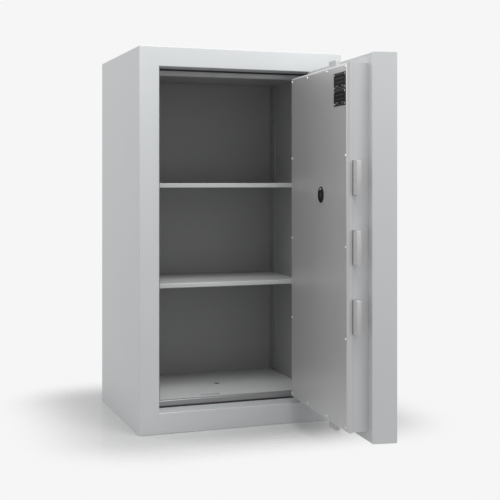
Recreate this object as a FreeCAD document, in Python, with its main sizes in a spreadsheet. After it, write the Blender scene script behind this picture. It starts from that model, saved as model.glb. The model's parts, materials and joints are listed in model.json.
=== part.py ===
"""Free-standing safe cabinet: a double-skinned body filled with concrete, one door on two lift-off
hinges, and a key-locked bolt work that a handle and a slotted cam drive.

Millimetres, +Z up. The origin is the centre of the body's base on the floor, and the front faces -Y.
Cabinet pieces are drawn from the body's front left bottom corner. Door pieces are drawn from the
hinge axis at floor level with the door shut, and are then turned open about that axis.
"""
import FreeCAD, Part

import math
import os
import re

import Sketcher
from FreeCAD import Placement, Rotation, Vector

doc = FreeCAD.newDocument("safe_cabinet")

# Driving dimensions: name, millimetres (degrees for angles), meaning.
DIMS = [
    ("body_width", 730, "outside width"),
    ("body_depth", 585, "outside depth, without the hinges"),
    ("body_height", 1285, "outside height"),
    ("outer_plate", 4, "outer skin"),
    ("corner_round", 3, "rounding of the outer skin's long edges"),
    ("wall", 73, "outside face to inside face at the sides"),
    ("ceiling_wall", 73, "outside face to inside face at the top"),
    ("rear_wall", 73, "outside face to inside face at the back"),
    ("floor_wall", 96, "underside to the inside floor"),
    ("liner_plate", 2, "inner skin"),
    ("floor_sheet", 3, "inside floor"),
    ("frame_plate", 5, "front frame and jambs"),
    ("frame_side", 68, "front frame beside the doorway"),
    ("frame_top", 66, "front frame above the doorway"),
    ("frame_bottom", 70, "front frame below the doorway"),
    ("frame_round", 2.5, "rounding of the front frame's edges"),
    ("stop_width", 24, "door stop stands into the doorway"),
    ("stop_width_hinge", 12, "the same, on the hinge side"),
    ("stop_thickness", 12, "door stop, front to back"),
    ("stop_round", 5, "rounding of the door stop's inner edge"),
    ("seal_width", 6, "fire seal strip"),
    ("seal_thickness", 2.5, "fire seal strip"),
    ("seal_gap", 0.5, "fire seal strip to the shut door"),
    ("anchor_radius", 8.5, "floor anchor hole"),
    ("anchor_tube_wall", 2.5, "tube that lines the anchor hole"),
    ("keeper_gap", 5, "room around the bottom bolt in its pocket"),
    ("keeper_sheet", 3, "pocket of the bottom bolt"),
    ("shelf_upper_top", 831, "floor to the upper shelf's top"),
    ("shelf_lower_top", 480, "floor to the lower shelf's top"),
    ("shelf_front", 174, "front face to the shelves' front edge"),
    ("shelf_rear_gap", 5, "shelf to the rear wall"),
    ("shelf_side_gap", 2, "shelf to the rails"),
    ("shelf_flange", 16, "turned-down edges"),
    ("shelf_return", 12, "turned-in lip under the front edge"),
    ("shelf_sheet", 1.5, "shelf metal"),
    ("shelf_bend", 2.4, "outside bend of the shelf"),
    ("rail_front", 215, "front face to the middle of the front rails"),
    ("rail_rear", 455, "front face to the middle of the rear rails"),
    ("rail_width", 24, "slotted rail"),
    ("rail_depth", 6, "slotted rail, off the wall"),
    ("rail_sheet", 1.5, "slotted rail metal"),
    ("rail_end_gap", 12, "rail ends to floor and ceiling"),
    ("rail_slot_pitch", 25, "slot to slot"),
    ("rail_slot_width", 12, "slot across the rail"),
    ("rail_slot_height", 5, "slot along the rail"),
    ("clip_reach", 14, "shelf clip, off the rail"),
    ("clip_width", 18, "shelf clip, front to back"),
    ("clip_height", 10, "shelf clip's upright leg"),
    ("clip_sheet", 2, "shelf clip metal"),
    ("hinge_right", 20, "doorway's edge to the hinge axis"),
    ("hinge_ahead", 14, "front face to the hinge axis"),
    ("hinge_low", 215, "floor to the middle of the lower hinge"),
    ("hinge_high", 210, "top to the middle of the upper hinge"),
    ("hinge_height", 120, "hinge, top to bottom"),
    ("knuckle_radius", 13.5, "hinge barrel"),
    ("pin_radius", 7, "hinge pin"),
    ("leaf_start", 14, "hinge axis to the leaf's near edge"),
    ("leaf_width", 30, "hinge leaf"),
    ("leaf_plate", 6, "hinge leaf"),
    ("leaf_seat", 1, "pad under the door leaf"),
    ("washer_height", 2, "thrust washer"),
    ("running_gap", 0.06, "radial play of a turning fit"),
    ("fixed_gap", 0.03, "radial play of a fixed fit"),
    ("slide_gap", 0.4, "play around a sliding bar"),
    ("door_open_angle", 85.4, "how far the door stands open, degrees"),
    ("door_gap", 3, "gap around the shut door"),
    ("door_thickness", 77, "door leaf without the lock case"),
    ("casing_plate", 5, "door's outer casing"),
    ("door_plate", 4, "door's inner plate"),
    ("door_round", 3.5, "rounding of the door's edges"),
    ("case_inset_lock", 36.5, "door's lock edge to the lock case"),
    ("case_inset_hinge", 15, "door's hinge edge to the lock case"),
    ("case_inset_end", 28, "door's top and bottom to the lock case"),
    ("case_sheet", 3, "lock case walls"),
    ("case_flange", 24, "turned-in flange that the cover screws to"),
    ("cover_sheet", 2, "back cover"),
    ("cover_lip", 16, "back cover's turned edge"),
    ("cover_bend", 9, "outside bend of the back cover"),
    ("cover_gap", 0.2, "back cover to lock case"),
    ("cover_screw_inset", 13.5, "cover's edge to its screws"),
    ("cover_screw_rise", 270, "screw to screw up the sides"),
    ("cover_screw_step", 92.5, "middle to the inner screws, top and bottom"),
    ("screw_radius", 2, "cover screw thread"),
    ("screw_length", 7, "cover screw under its head"),
    ("screw_head_radius", 4.2, "cover screw head"),
    ("screw_head", 2.4, "cover screw head's height"),
    ("plate_length", 100, "blank black plate"),
    ("plate_height", 49, "blank black plate"),
    ("plate_thickness", 1, "blank black plate"),
    ("plate_inset_lock", 49, "door's lock edge to the plates"),
    ("plate_inset_top", 54, "door's top to the upper plate"),
    ("plate_gap", 1, "plate to plate"),
    ("plate_corner", 2, "plate corners"),
    ("rivet_radius", 2, "plate rivet"),
    ("rivet_height", 1, "plate rivet"),
    ("rivet_inset", 6, "plate's edge to its rivets"),
    ("dog_engage", 5, "hinge-side dog behind the stop"),
    ("dog_height", 60, "hinge-side dog"),
    ("dog_front", 18, "door's inner plate to the dog"),
    ("dog_thickness", 12, "hinge-side dog"),
    ("dog_pitch", 300, "dog to dog"),
    ("bolt_plane", 35.5, "door's inner plate to the bolts"),
    ("bolt_thickness", 13, "all bolts"),
    ("bolt_end_gap", 2, "thrown bolt to the wall it points at"),
    ("side_bolt_height", 100, "side bolt"),
    ("side_bolt_length", 90, "side bolt"),
    ("side_bolt_pitch", 204, "side bolt to side bolt"),
    ("end_bolt_width", 60, "top and bottom bolts"),
    ("end_bolt_length", 100, "top and bottom bolts"),
    ("floor_engage", 21, "bottom bolt below the inside floor"),
    ("bolt_slot_gap", 1, "lock case slot around a bolt"),
    ("guide_wall", 12, "guide block beside its slot"),
    ("guide_back", 4, "guide block behind its slot"),
    ("guide_length", 20, "guide block along the bolt"),
    ("rod_guide_offset", 300, "door's middle to the rod guides"),
    ("rod_width", 20, "vertical rods"),
    ("rod_thickness", 8, "vertical rods"),
    ("rod_plane", 38, "door's inner plate to the rods"),
    ("carrier_width", 30, "upright bar that joins the side bolts"),
    ("carrier_thickness", 10, "upright bar that joins the side bolts"),
    ("carrier_overlap", 15, "bar over the side bolts' tails"),
    ("arm_height", 30, "arm from the bar to the cam"),
    ("arm_end", 9, "arm beyond its pin"),
    ("spindle_inset", 211.5, "door's lock edge to the handle spindle"),
    ("spindle_radius", 8, "handle spindle"),
    ("sleeve_wall", 4, "tube around the spindle"),
    ("sleeve_rise", 15, "tube beyond the door's inner plate"),
    ("cam_thickness", 6, "slotted cam"),
    ("cam_gap", 3.5, "bolts to the cam"),
    ("cam_room", 8, "cam to the lock case's rear face"),
    ("cam_rim", 3.5, "cam beyond its slots"),
    ("cam_pin_far", 50, "spindle to a drive pin, bolts thrown"),
    ("cam_rate", 18, "bolt travel for each radian of the handle"),
    ("cam_turn", 90, "handle's travel, degrees"),
    ("drive_pin_radius", 4, "drive pins"),
    ("drive_pin_gap", 0.5, "cam slot beside a drive pin"),
    ("spindle_end", 2, "spindle beyond the cam"),
    ("rose_radius", 32, "handle rose"),
    ("rose_height", 6, "handle rose"),
    ("hub_radius", 17, "handle hub"),
    ("hub_height", 24, "handle hub"),
    ("hub_gap", 0.3, "handle hub to rose"),
    ("lever_length", 130, "spindle to the lever's tip"),
    ("lever_width", 26, "lever at its hub"),
    ("lever_tip_width", 18, "lever at its tip"),
    ("lever_thickness", 13, "lever"),
    ("lever_round", 4, "lever's edges"),
    ("lock_above", 151.5, "door's middle to the keyhole"),
    ("lock_inset", 266, "door's lock edge to the keyhole"),
    ("lock_width", 70, "key lock body"),
    ("lock_height", 110, "key lock body"),
    ("lock_keyhole", 32, "lock body's bolt face to the keyhole"),
    ("lock_depth", 36, "key lock body"),
    ("hard_plate", 12, "hard plate in front of the lock"),
    ("hard_plate_margin", 12, "hard plate around the lock"),
    ("key_radius", 6, "key's way"),
    ("key_tube_wall", 3, "tube around the key's way"),
    ("lock_bolt_length", 30, "lock's own bolt"),
    ("lock_bolt_height", 14, "lock's own bolt"),
    ("lock_bolt_thickness", 10, "lock's own bolt"),
    ("lock_bolt_play", 0.3, "lock body around its bolt"),
    ("lug_height", 9, "lug on the top rod"),
    ("lug_width", 10, "lug off the rod's side"),
    ("lug_gap", 1.5, "lug above the lock's bolt"),
    ("escutcheon_radius", 24, "keyhole plate"),
    ("escutcheon_height", 4, "keyhole plate"),
    ("flap_radius", 10, "keyhole cover over the keyhole"),
    ("flap_neck_radius", 6, "keyhole cover at its pivot"),
    ("flap_thickness", 3, "keyhole cover"),
    ("flap_pivot_rise", 16, "keyhole to the cover's pivot"),
    ("pivot_radius", 2.5, "pivots of the small covers"),
    ("pivot_head_radius", 4, "pivots of the small covers"),
    ("pivot_head", 1.5, "pivots of the small covers"),
    ("face_gap", 0.1, "turning faces apart"),
    ("disc_radius", 25, "cover of the change-key hole"),
    ("disc_thickness", 2, "cover of the change-key hole"),
    ("disc_pivot_rise", 17, "change-key hole to its cover's pivot"),
]

# What fits to what: name, formula. Cabinet places count from the body's front left bottom corner,
# door places from the hinge axis at floor level with the door shut.
FITS = [
    ("rebate_depth", "door_thickness + seal_thickness + seal_gap"),
    ("open_left", "frame_side"),
    ("open_right", "body_width - frame_side"),
    ("open_low", "frame_bottom"),
    ("open_high", "body_height - frame_top"),
    ("stop_left", "open_left + stop_width"),
    ("stop_right", "open_right - stop_width_hinge"),
    ("stop_low", "open_low + stop_width"),
    ("stop_high", "open_high - stop_width"),
    ("stop_back", "rebate_depth + stop_thickness"),
    ("room_left", "wall"),
    ("room_right", "body_width - wall"),
    ("room_high", "body_height - ceiling_wall"),
    ("room_back", "body_depth - rear_wall"),
    ("hinge_x", "open_right + hinge_right"),
    ("hinge_upper", "body_height - hinge_high"),
    ("slab_radius", "hinge_x - open_left - door_gap"),
    ("slab_hinge", "open_right - door_gap - hinge_x"),
    ("slab_low", "open_low + door_gap"),
    ("slab_high", "open_high - door_gap"),
    ("slab_front", "hinge_ahead"),
    ("slab_back", "slab_front + door_thickness"),
    ("door_mid", "(slab_low + slab_high) / 2"),
    ("cam_plane", "bolt_plane + bolt_thickness + cam_gap"),
    ("cam_radius", "cam_pin_far + drive_pin_radius + drive_pin_gap + cam_rim"),
    ("case_depth", "cam_plane + cam_thickness + cam_room"),
    ("case_lock", "case_inset_lock - slab_radius"),
    ("case_hinge", "slab_hinge - case_inset_hinge"),
    ("case_low", "slab_low + case_inset_end"),
    ("case_high", "slab_high - case_inset_end"),
    ("case_mid", "(case_lock + case_hinge) / 2"),
    ("case_back", "slab_back + case_depth"),
    ("case_skin", "cover_sheet + cover_gap"),
    ("case_bend", "cover_bend - case_skin"),
    ("cover_inner_bend", "cover_bend - cover_sheet"),
    ("bolt_front", "slab_back + bolt_plane"),
    ("bolt_back", "bolt_front + bolt_thickness"),
    ("side_tip", "room_left + bolt_end_gap - hinge_x"),
    ("side_tail", "side_tip + side_bolt_length"),
    ("top_tip", "room_high - bolt_end_gap"),
    ("bottom_tip", "floor_wall - floor_engage"),
    ("spindle_x", "spindle_inset - slab_radius"),
    ("rod_front", "slab_back + rod_plane"),
    ("rod_back", "rod_front + rod_thickness"),
    ("carrier_left", "side_tail - carrier_overlap"),
    ("cam_front", "slab_back + cam_plane"),
    ("cam_back", "cam_front + cam_thickness"),
    ("pin_end", "cam_back - 1"),
    ("lock_x", "lock_inset - slab_radius"),
    ("lock_z", "door_mid + lock_above"),
    ("lock_left", "lock_x - lock_keyhole"),
    ("lock_front", "slab_back + hard_plate"),
    ("lock_bolt_back", "rod_back"),
    ("plate_left", "plate_inset_lock - slab_radius"),
    ("plate_top", "slab_high - plate_inset_top"),
]


def make_sheet(name, rows):
    """One spreadsheet: text cells in column A, each with its alias, and notes in column B."""
    sheet = doc.addObject("Spreadsheet::Sheet", name)
    for row, (alias, content, note) in enumerate(rows, start=1):
        sheet.set(f"A{row}", content)
        sheet.setAlias(f"A{row}", alias)
        sheet.set(f"B{row}", note)
    return sheet


WHERE = {alias: "dims." + alias for alias, _, _ in DIMS}
WHERE.update({alias: "fits." + alias for alias, _ in FITS})


def cells(formula):
    """A formula with each named size pointing at its spreadsheet cell."""
    return re.sub(r"[a-z_]+", lambda word: WHERE.get(word[0], word[0]), str(formula))


dims = make_sheet("dims", [(alias, str(value), note) for alias, value, note in DIMS])
fits = make_sheet("fits", [(alias, "=" + cells(formula), "") for alias, formula in FITS])
doc.recompute()


def size(name):
    """The present value of one named size."""
    return float(getattr(dims if WHERE[name].startswith("dims.") else fits, name))


def bind(thing, **formulas):
    """Ties properties of a document object to formulas of named sizes."""
    for name, formula in formulas.items():
        thing.setExpression(name, cells(formula))


def place(thing, x, y, z):
    bind(thing, **{"Placement.Base.x": x, "Placement.Base.y": y, "Placement.Base.z": z})


# --- Shapes that the pieces are made of -------------------------------------------------------

def block(name, x, y, z):
    """A box between two places on each axis."""
    thing = doc.addObject("Part::Box", name)
    bind(thing, Length=f"({x[1]}) - ({x[0]})", Width=f"({y[1]}) - ({y[0]})", Height=f"({z[1]}) - ({z[0]})")
    place(thing, x[0], y[0], z[0])
    return thing


def bar(name, radius, x, y, z):
    """A round bar along the one axis that is given as two places."""
    thing = doc.addObject("Part::Cylinder", name)
    spans = {"x": x, "y": y, "z": z}
    along = next(axis for axis, span in spans.items() if isinstance(span, tuple))
    turn = {"x": Rotation(Vector(0, 1, 0), 90), "y": Rotation(Vector(1, 0, 0), -90), "z": Rotation()}
    thing.Placement = Placement(Vector(), turn[along])
    start, end = spans[along]
    spans[along] = start
    bind(thing, Radius=radius, Height=f"({end}) - ({start})")
    place(thing, spans["x"], spans["y"], spans["z"])
    return thing


def fused(name, things):
    thing = doc.addObject("Part::MultiFuse", name)
    thing.Shapes = things
    thing.Refine = True
    return thing


def group(name, things):
    thing = doc.addObject("Part::Compound", name)
    thing.Links = things
    return thing


def minus(name, solid, tools):
    thing = doc.addObject("Part::Cut", name)
    thing.Base = solid
    thing.Tool = tools[0] if len(tools) == 1 else fused(name + "_tools", tools)
    return thing


def shared(name, one, other):
    thing = doc.addObject("Part::Common", name)
    thing.Base = one
    thing.Tool = other
    return thing


def rounded(name, solid, radius, pick):
    """Rounds the edges whose bounding box passes the test."""
    doc.recompute()
    edges = [i for i, edge in enumerate(solid.Shape.Edges, start=1) if pick(edge.BoundBox)]
    thing = doc.addObject("Part::Fillet", name)
    thing.Base = solid
    thing.Edges = [(i, size(radius), size(radius)) for i in edges]
    return thing


def near(a, b):
    return abs(a - b) < 1e-4


def outline(name, plane, points, holes=()):
    """A PartDesign body with one sketch: a closed outline of corner formulas, and round holes."""
    body = doc.addObject("PartDesign::Body", name)
    sketch = body.newObject("Sketcher::SketchObject", name + "_outline")
    base = next(part for part in body.Origin.OriginFeatures if part.Role == plane)
    sketch.AttachmentSupport = [(base, "")]
    sketch.MapMode = "FlatFace"
    probe = doc.addObject("Spreadsheet::Sheet", name + "_corners")
    flat = [value for point in points for value in point] + [value for hole in holes for value in hole]
    for row, formula in enumerate(flat, start=1):
        probe.set(f"A{row}", "=" + cells(formula))
    doc.recompute()
    values = [float(probe.get(f"A{row}")) for row in range(1, len(flat) + 1)]
    doc.removeObject(probe.Name)
    corners = [Vector(values[2 * i], values[2 * i + 1], 0) for i in range(len(points))]
    count = len(corners)
    for i in range(count):
        sketch.addGeometry(Part.LineSegment(corners[i], corners[(i + 1) % count]))
    for i in range(count):
        sketch.addConstraint(Sketcher.Constraint("Coincident", i, 2, (i + 1) % count, 1))
    for i, (point, corner) in enumerate(zip(points, corners)):
        fix_point(sketch, i, 1, point, corner, f"corner_{i}")
    for k, (across, up, radius) in enumerate(holes):
        x, y, r = values[2 * count + 3 * k:2 * count + 3 * k + 3]
        circle = sketch.addGeometry(Part.Circle(Vector(x, y, 0), Vector(0, 0, 1), r))
        fix_point(sketch, circle, 3, (across, up), Vector(x, y, 0), f"hole_{k}")
        row = sketch.addConstraint(Sketcher.Constraint("Radius", circle, r))
        sketch.renameConstraint(row, f"hole_{k}_radius")
        sketch.setExpression(f"Constraints.hole_{k}_radius", cells(radius))
    return body, sketch


def fix_point(sketch, geometry, end, formulas, at, label):
    """Ties one sketch point to the sketch's origin by its two formulas."""
    for kind, formula, value in zip(("DistanceX", "DistanceY"), formulas, (at.x, at.y)):
        row = sketch.addConstraint(Sketcher.Constraint(kind, -1, 1, geometry, end, value))
        sketch.renameConstraint(row, f"{label}_{kind}")
        sketch.setExpression(f"Constraints.{label}_{kind}", cells(formula))


def pad(body, sketch, length, reverse=False):
    thing = body.newObject("PartDesign::Pad", body.Name + "_pad")
    thing.Profile = sketch
    thing.Reversed = reverse
    bind(thing, Length=length)
    doc.recompute()
    return thing


def body_fillet(body, feature, radius, pick):
    """A PartDesign fillet on the feature's edges whose bounding box passes the test."""
    thing = body.newObject("PartDesign::Fillet", body.Name + "_rounding")
    names = [f"Edge{i}" for i, edge in enumerate(feature.Shape.Edges, start=1) if pick(edge.BoundBox)]
    thing.Base = (feature, names)
    bind(thing, Radius=radius)
    doc.recompute()
    return thing


# --- Handing a finished piece over to its place in the safe -----------------------------------

nodes = {}


def held(name, thing):
    """A box or bar keeps its own place, so it is handed over inside a compound that can be moved."""
    return group(name, [thing]) if thing.TypeId in ("Part::Box", "Part::Cylinder") else thing


def in_cabinet(name, thing, x="0", y="0", z="0"):
    """Names a cabinet piece and moves it from the body's corner to the part's origin."""
    thing = held(name, thing)
    thing.Label = name
    place(thing, f"{x} - body_width / 2", f"{y} - body_depth / 2", z)
    nodes[name] = thing


def on_door(name, thing, x="0", y="0", z="0"):
    """Names a door piece, and turns it open about the hinge axis."""
    thing = held(name, thing)
    thing.Label = name
    turned_x = f"({x}) * cos(door_open_angle) - ({y}) * sin(door_open_angle)"
    turned_y = f"({x}) * sin(door_open_angle) + ({y}) * cos(door_open_angle)"
    place(thing, f"hinge_x - body_width / 2 + {turned_x}", f"-hinge_ahead - body_depth / 2 + {turned_y}", z)
    bind(thing, **{"Placement.Rotation.Angle": "door_open_angle"})
    nodes[name] = thing


# --- Cabinet ----------------------------------------------------------------------------------

def outer_skin():
    """Five plates; the front frame closes the sixth side."""
    depth = ("frame_plate", "body_depth")
    inside = ("outer_plate", "body_width - outer_plate")
    top = size("body_height")
    back = size("body_depth")
    for name, x, outside in (
        ("side_panel_left", ("0", "outer_plate"), 0),
        ("side_panel_right", ("body_width - outer_plate", "body_width"), size("body_width")),
    ):
        plate = block(name + "_plate", x, depth, ("0", "body_height"))
        ridge = lambda b, edge=outside: (
            near(b.XMin, edge) and near(b.XMax, edge)
            and (near(b.ZMin, top) or (near(b.YMin, back) and near(b.YMax, back)))
        )
        in_cabinet(name, rounded(name, plate, "corner_round", ridge))
    in_cabinet("top_panel", block("top_panel", inside, depth, ("body_height - outer_plate", "body_height")))
    in_cabinet("rear_panel", block(
        "rear_panel", inside, ("body_depth - outer_plate", "body_depth"),
        ("outer_plate", "body_height - outer_plate"),
    ))
    base = block("base_plate", inside, depth, ("0", "outer_plate"))
    hole = anchor_hole("base_hole", "fixed_gap", ("-1", "floor_wall"))
    in_cabinet("base_panel", minus("base_panel", base, [hole]))


def anchor_hole(name, gap, z):
    """The space of the anchor tube, in the middle of the floor."""
    radius = f"anchor_radius + anchor_tube_wall + {gap}"
    return bar(name, radius, "body_width / 2", "body_depth / 2", z)


def anchor_sleeve():
    tube = anchor_hole("anchor_tube", "0", ("0", "floor_wall"))
    bore = bar("anchor_bore", "anchor_radius", "body_width / 2", "body_depth / 2", ("-1", "floor_wall + 1"))
    in_cabinet("anchor_sleeve", minus("anchor_sleeve", tube, [bore]))


def doorway(name, margin, y):
    """The doorway's box, grown by a margin."""
    return block(
        name, (f"open_left - ({margin})", f"open_right + {margin}"), y,
        (f"open_low - ({margin})", f"open_high + {margin}"),
    )


def front_frame():
    face = block("frame_face", ("0", "body_width"), ("0", "frame_plate"), ("0", "body_height"))
    jambs = doorway("frame_jambs", "frame_plate", ("0", "rebate_depth"))
    opening = doorway("frame_opening", "0", ("-1", "rebate_depth + 1"))
    ring = minus("frame_ring", fused("frame_solid", [face, jambs]), [opening])
    in_cabinet("front_frame", rounded(
        "front_frame", ring, "frame_round", lambda b: near(b.YMin, 0) and near(b.YMax, 0),
    ))


def door_stop():
    """The ring behind the door that the bolts catch, its inner front edge rounded, and its seal."""
    plate = doorway("stop_plate", "frame_plate", ("rebate_depth", "stop_back"))
    hole = block(
        "stop_hole", ("stop_left", "stop_right"), ("rebate_depth - 1", "stop_back + 1"),
        ("stop_low", "stop_high"),
    )
    ring = minus("stop_ring", plate, [hole])
    face, low, high = size("rebate_depth"), size("stop_low"), size("stop_high")
    inner = lambda b: near(b.YMin, face) and near(b.YMax, face) and b.ZMin > low - 1 and b.ZMax < high + 1
    in_cabinet("door_stop_frame", rounded("door_stop_frame", ring, "stop_round", inner))
    strip = doorway("seal_strip", "0", ("rebate_depth - seal_thickness", "rebate_depth"))
    window = doorway("seal_window", "(-seal_width)", ("0", "body_depth"))
    in_cabinet("fire_seal", minus("fire_seal", strip, [window]))


def keeper(name, grow):
    """The bottom bolt's room below the inside floor, with walls as thick as grow."""
    across = f"end_bolt_width / 2 + keeper_gap + {grow}"
    around = f"keeper_gap + {grow}"
    top = "floor_wall - floor_sheet" if grow != "0" else "floor_wall + 1"
    return block(
        name, (f"hinge_x + spindle_x - ({across})", f"hinge_x + spindle_x + {across}"),
        (f"bolt_front - hinge_ahead - ({around})", f"bolt_back - hinge_ahead + {around}"),
        (f"bottom_tip - keeper_gap - ({grow})", top),
    )


def inner_skin():
    """Liner of three walls and a ceiling, and the floor with the bottom bolt's pocket."""
    shell = block(
        "liner_outside", ("room_left - liner_plate", "room_right + liner_plate"),
        ("stop_back", "room_back + liner_plate"), ("floor_wall - floor_sheet", "room_high + liner_plate"),
    )
    room = block("liner_room", ("room_left", "room_right"), ("0", "room_back"), ("0", "room_high"))
    in_cabinet("inner_liner", minus("inner_liner", shell, [room]))
    sheet = block(
        "floor_sheet_plate", ("room_left", "room_right"), ("stop_back", "room_back"),
        ("floor_wall - floor_sheet", "floor_wall"),
    )
    solid = fused("floor_solid", [sheet, keeper("keeper_outside", "keeper_sheet")])
    holes = [keeper("keeper_room", "0"), anchor_hole("floor_hole", "fixed_gap", ("0", "floor_wall + 1"))]
    in_cabinet("floor_plate", minus("floor_plate", solid, holes))


def barrier_infill():
    """Concrete between the skins, with the room, the doorway and the pockets left out of it."""
    mass = block(
        "infill_mass", ("outer_plate", "body_width - outer_plate"),
        ("frame_plate", "body_depth - outer_plate"),
        ("outer_plate", "body_height - outer_plate"),
    )
    room = block(
        "infill_room", ("room_left - liner_plate", "room_right + liner_plate"),
        ("0", "room_back + liner_plate"), ("floor_wall - floor_sheet", "room_high + liner_plate"),
    )
    way = doorway("infill_doorway", "frame_plate", ("0", "stop_back"))
    pocket = keeper("infill_keeper", "keeper_sheet")
    tube = anchor_hole("infill_hole", "fixed_gap", ("0", "floor_wall"))
    ring = block(
        "infill_behind_frame", ("outer_plate", "body_width - outer_plate"), ("frame_plate", "stop_back"),
        ("outer_plate", "body_height - outer_plate"),
    )
    ahead = minus("infill_front", ring, [way])
    behind = minus("infill_back", mass, [room, block(
        "infill_front_space", ("0", "body_width"), ("0", "stop_back"), ("0", "body_height"),
    )])
    filling = fused("infill_solid", [ahead, behind])
    in_cabinet("barrier_infill", minus("barrier_infill", filling, [pocket, tube]))


def shelves():
    """Folded trays: a lip under the front edge, a turned-down rear edge."""
    reach = "body_depth - rear_wall - shelf_rear_gap - shelf_front"
    sheet, drop = "shelf_sheet", "shelf_flange"
    profile = [
        ("0", "0"), ("shelf_return", "0"), ("shelf_return", sheet), (sheet, sheet),
        (sheet, f"{drop} - {sheet}"), (f"{reach} - {sheet}", f"{drop} - {sheet}"),
        (f"{reach} - {sheet}", "0"),
        (reach, "0"), (reach, drop), ("0", drop),
    ]
    side = "wall + rail_depth + shelf_side_gap"
    for name, top in (("shelf_upper", "shelf_upper_top"), ("shelf_lower", "shelf_lower_top")):
        body, sketch = outline(name, "YZ_Plane", profile)
        tray = pad(body, sketch, f"body_width - 2 * ({side})")
        front = lambda b: near(b.YMax, 0) and b.XLength > 1
        body_fillet(body, tray, "shelf_bend", front)
        in_cabinet(name, body, side, "shelf_front", f"{top} - shelf_flange")


def rail(name):
    """One slotted rail: a shallow channel with a row of slots up its face, standing on its end."""
    lip, deep, wide = "rail_sheet", "rail_depth", "rail_width"
    profile = [
        ("0", "0"), (deep, "0"), (deep, wide), ("0", wide), ("0", f"{wide} - {lip}"),
        (f"{deep} - {lip}", f"{wide} - {lip}"), (f"{deep} - {lip}", lip), ("0", lip),
    ]
    body, sketch = outline(name, "XY_Plane", profile)
    length = "body_height - ceiling_wall - floor_wall - 2 * rail_end_gap"
    channel = pad(body, sketch, length)
    slot = body.newObject("Sketcher::SketchObject", name + "_slot")
    base = next(part for part in body.Origin.OriginFeatures if part.Role == "YZ_Plane")
    slot.AttachmentSupport = [(base, "")]
    slot.MapMode = "FlatFace"
    across = (size("rail_width") - size("rail_slot_width")) / 2
    up = size("rail_slot_pitch")
    box = [(0, 0), (1, 0), (1, 1), (0, 1)]
    spots = [
        Vector(across + i * size("rail_slot_width"), up + j * size("rail_slot_height"), 0) for i, j in box
    ]
    for i in range(4):
        slot.addGeometry(Part.LineSegment(spots[i], spots[(i + 1) % 4]))
    for i in range(4):
        slot.addConstraint(Sketcher.Constraint("Coincident", i, 2, (i + 1) % 4, 1))
    for i, (a, b) in enumerate(box):
        where = (
            f"(rail_width - rail_slot_width) / 2 + {a} * rail_slot_width",
            f"rail_slot_pitch + {b} * rail_slot_height",
        )
        fix_point(slot, i, 1, where, spots[i], f"corner_{i}")
    cut = body.newObject("PartDesign::Pocket", name + "_cut")
    cut.Profile = slot
    cut.Type = "ThroughAll"
    cut.Reversed = True
    doc.recompute()
    row = body.newObject("PartDesign::LinearPattern", name + "_row")
    row.Originals = [cut]
    row.Direction = (next(part for part in body.Origin.OriginFeatures if part.Role == "Z_Axis"), [""])
    row.Mode = "Spacing"
    bind(row, Offset="rail_slot_pitch", Occurrences=f"floor(({length}) / rail_slot_pitch) - 1")
    body.Tip = row
    doc.recompute()
    if row.Shape.Volume >= channel.Shape.Volume:
        raise RuntimeError(name + " has no slots")
    return body


def rails_and_clips():
    clips = []
    for side in ("left", "right"):
        pair = []
        for end, middle in (("front", "rail_front"), ("rear", "rail_rear")):
            one = rail(f"rail_{side}_{end}")
            if side == "left":
                place(one, "room_left", f"{middle} - rail_width / 2", "floor_wall + rail_end_gap")
            else:
                one.Placement = Placement(Vector(), Rotation(Vector(0, 0, 1), 180))
                place(one, "room_right", f"{middle} + rail_width / 2", "floor_wall + rail_end_gap")
            pair.append(one)
            for level, top in (("upper", "shelf_upper_top"), ("lower", "shelf_lower_top")):
                clips.append(shelf_clip(f"clip_{side}_{end}_{level}", side, middle, top))
        in_cabinet(f"shelf_rails_{side}", group(f"shelf_rails_{side}", pair))
    in_cabinet("shelf_clips", group("shelf_clips", clips))


def shelf_clip(name, side, middle, top):
    """An angle that hooks on the rail and carries the shelf's sheet on its upper leg."""
    wall_x = "room_left + rail_depth" if side == "left" else "room_right - rail_depth"
    sign = "+" if side == "left" else "-"

    def span(reach):
        ends = (wall_x, f"{wall_x} {sign} {reach}")
        return ends if side == "left" else ends[::-1]

    y = (f"{middle} - clip_width / 2", f"{middle} + clip_width / 2")
    seat = f"{top} - shelf_sheet"
    leg = block(name + "_leg", span("clip_sheet"), y, (f"{seat} - clip_height", seat))
    foot = block(name + "_foot", span("clip_reach"), y, (f"{seat} - clip_sheet", seat))
    return fused(name, [leg, foot])


# --- Hinges -----------------------------------------------------------------------------------

HINGES = (("upper", "hinge_upper"), ("lower", "hinge_low"))


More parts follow.
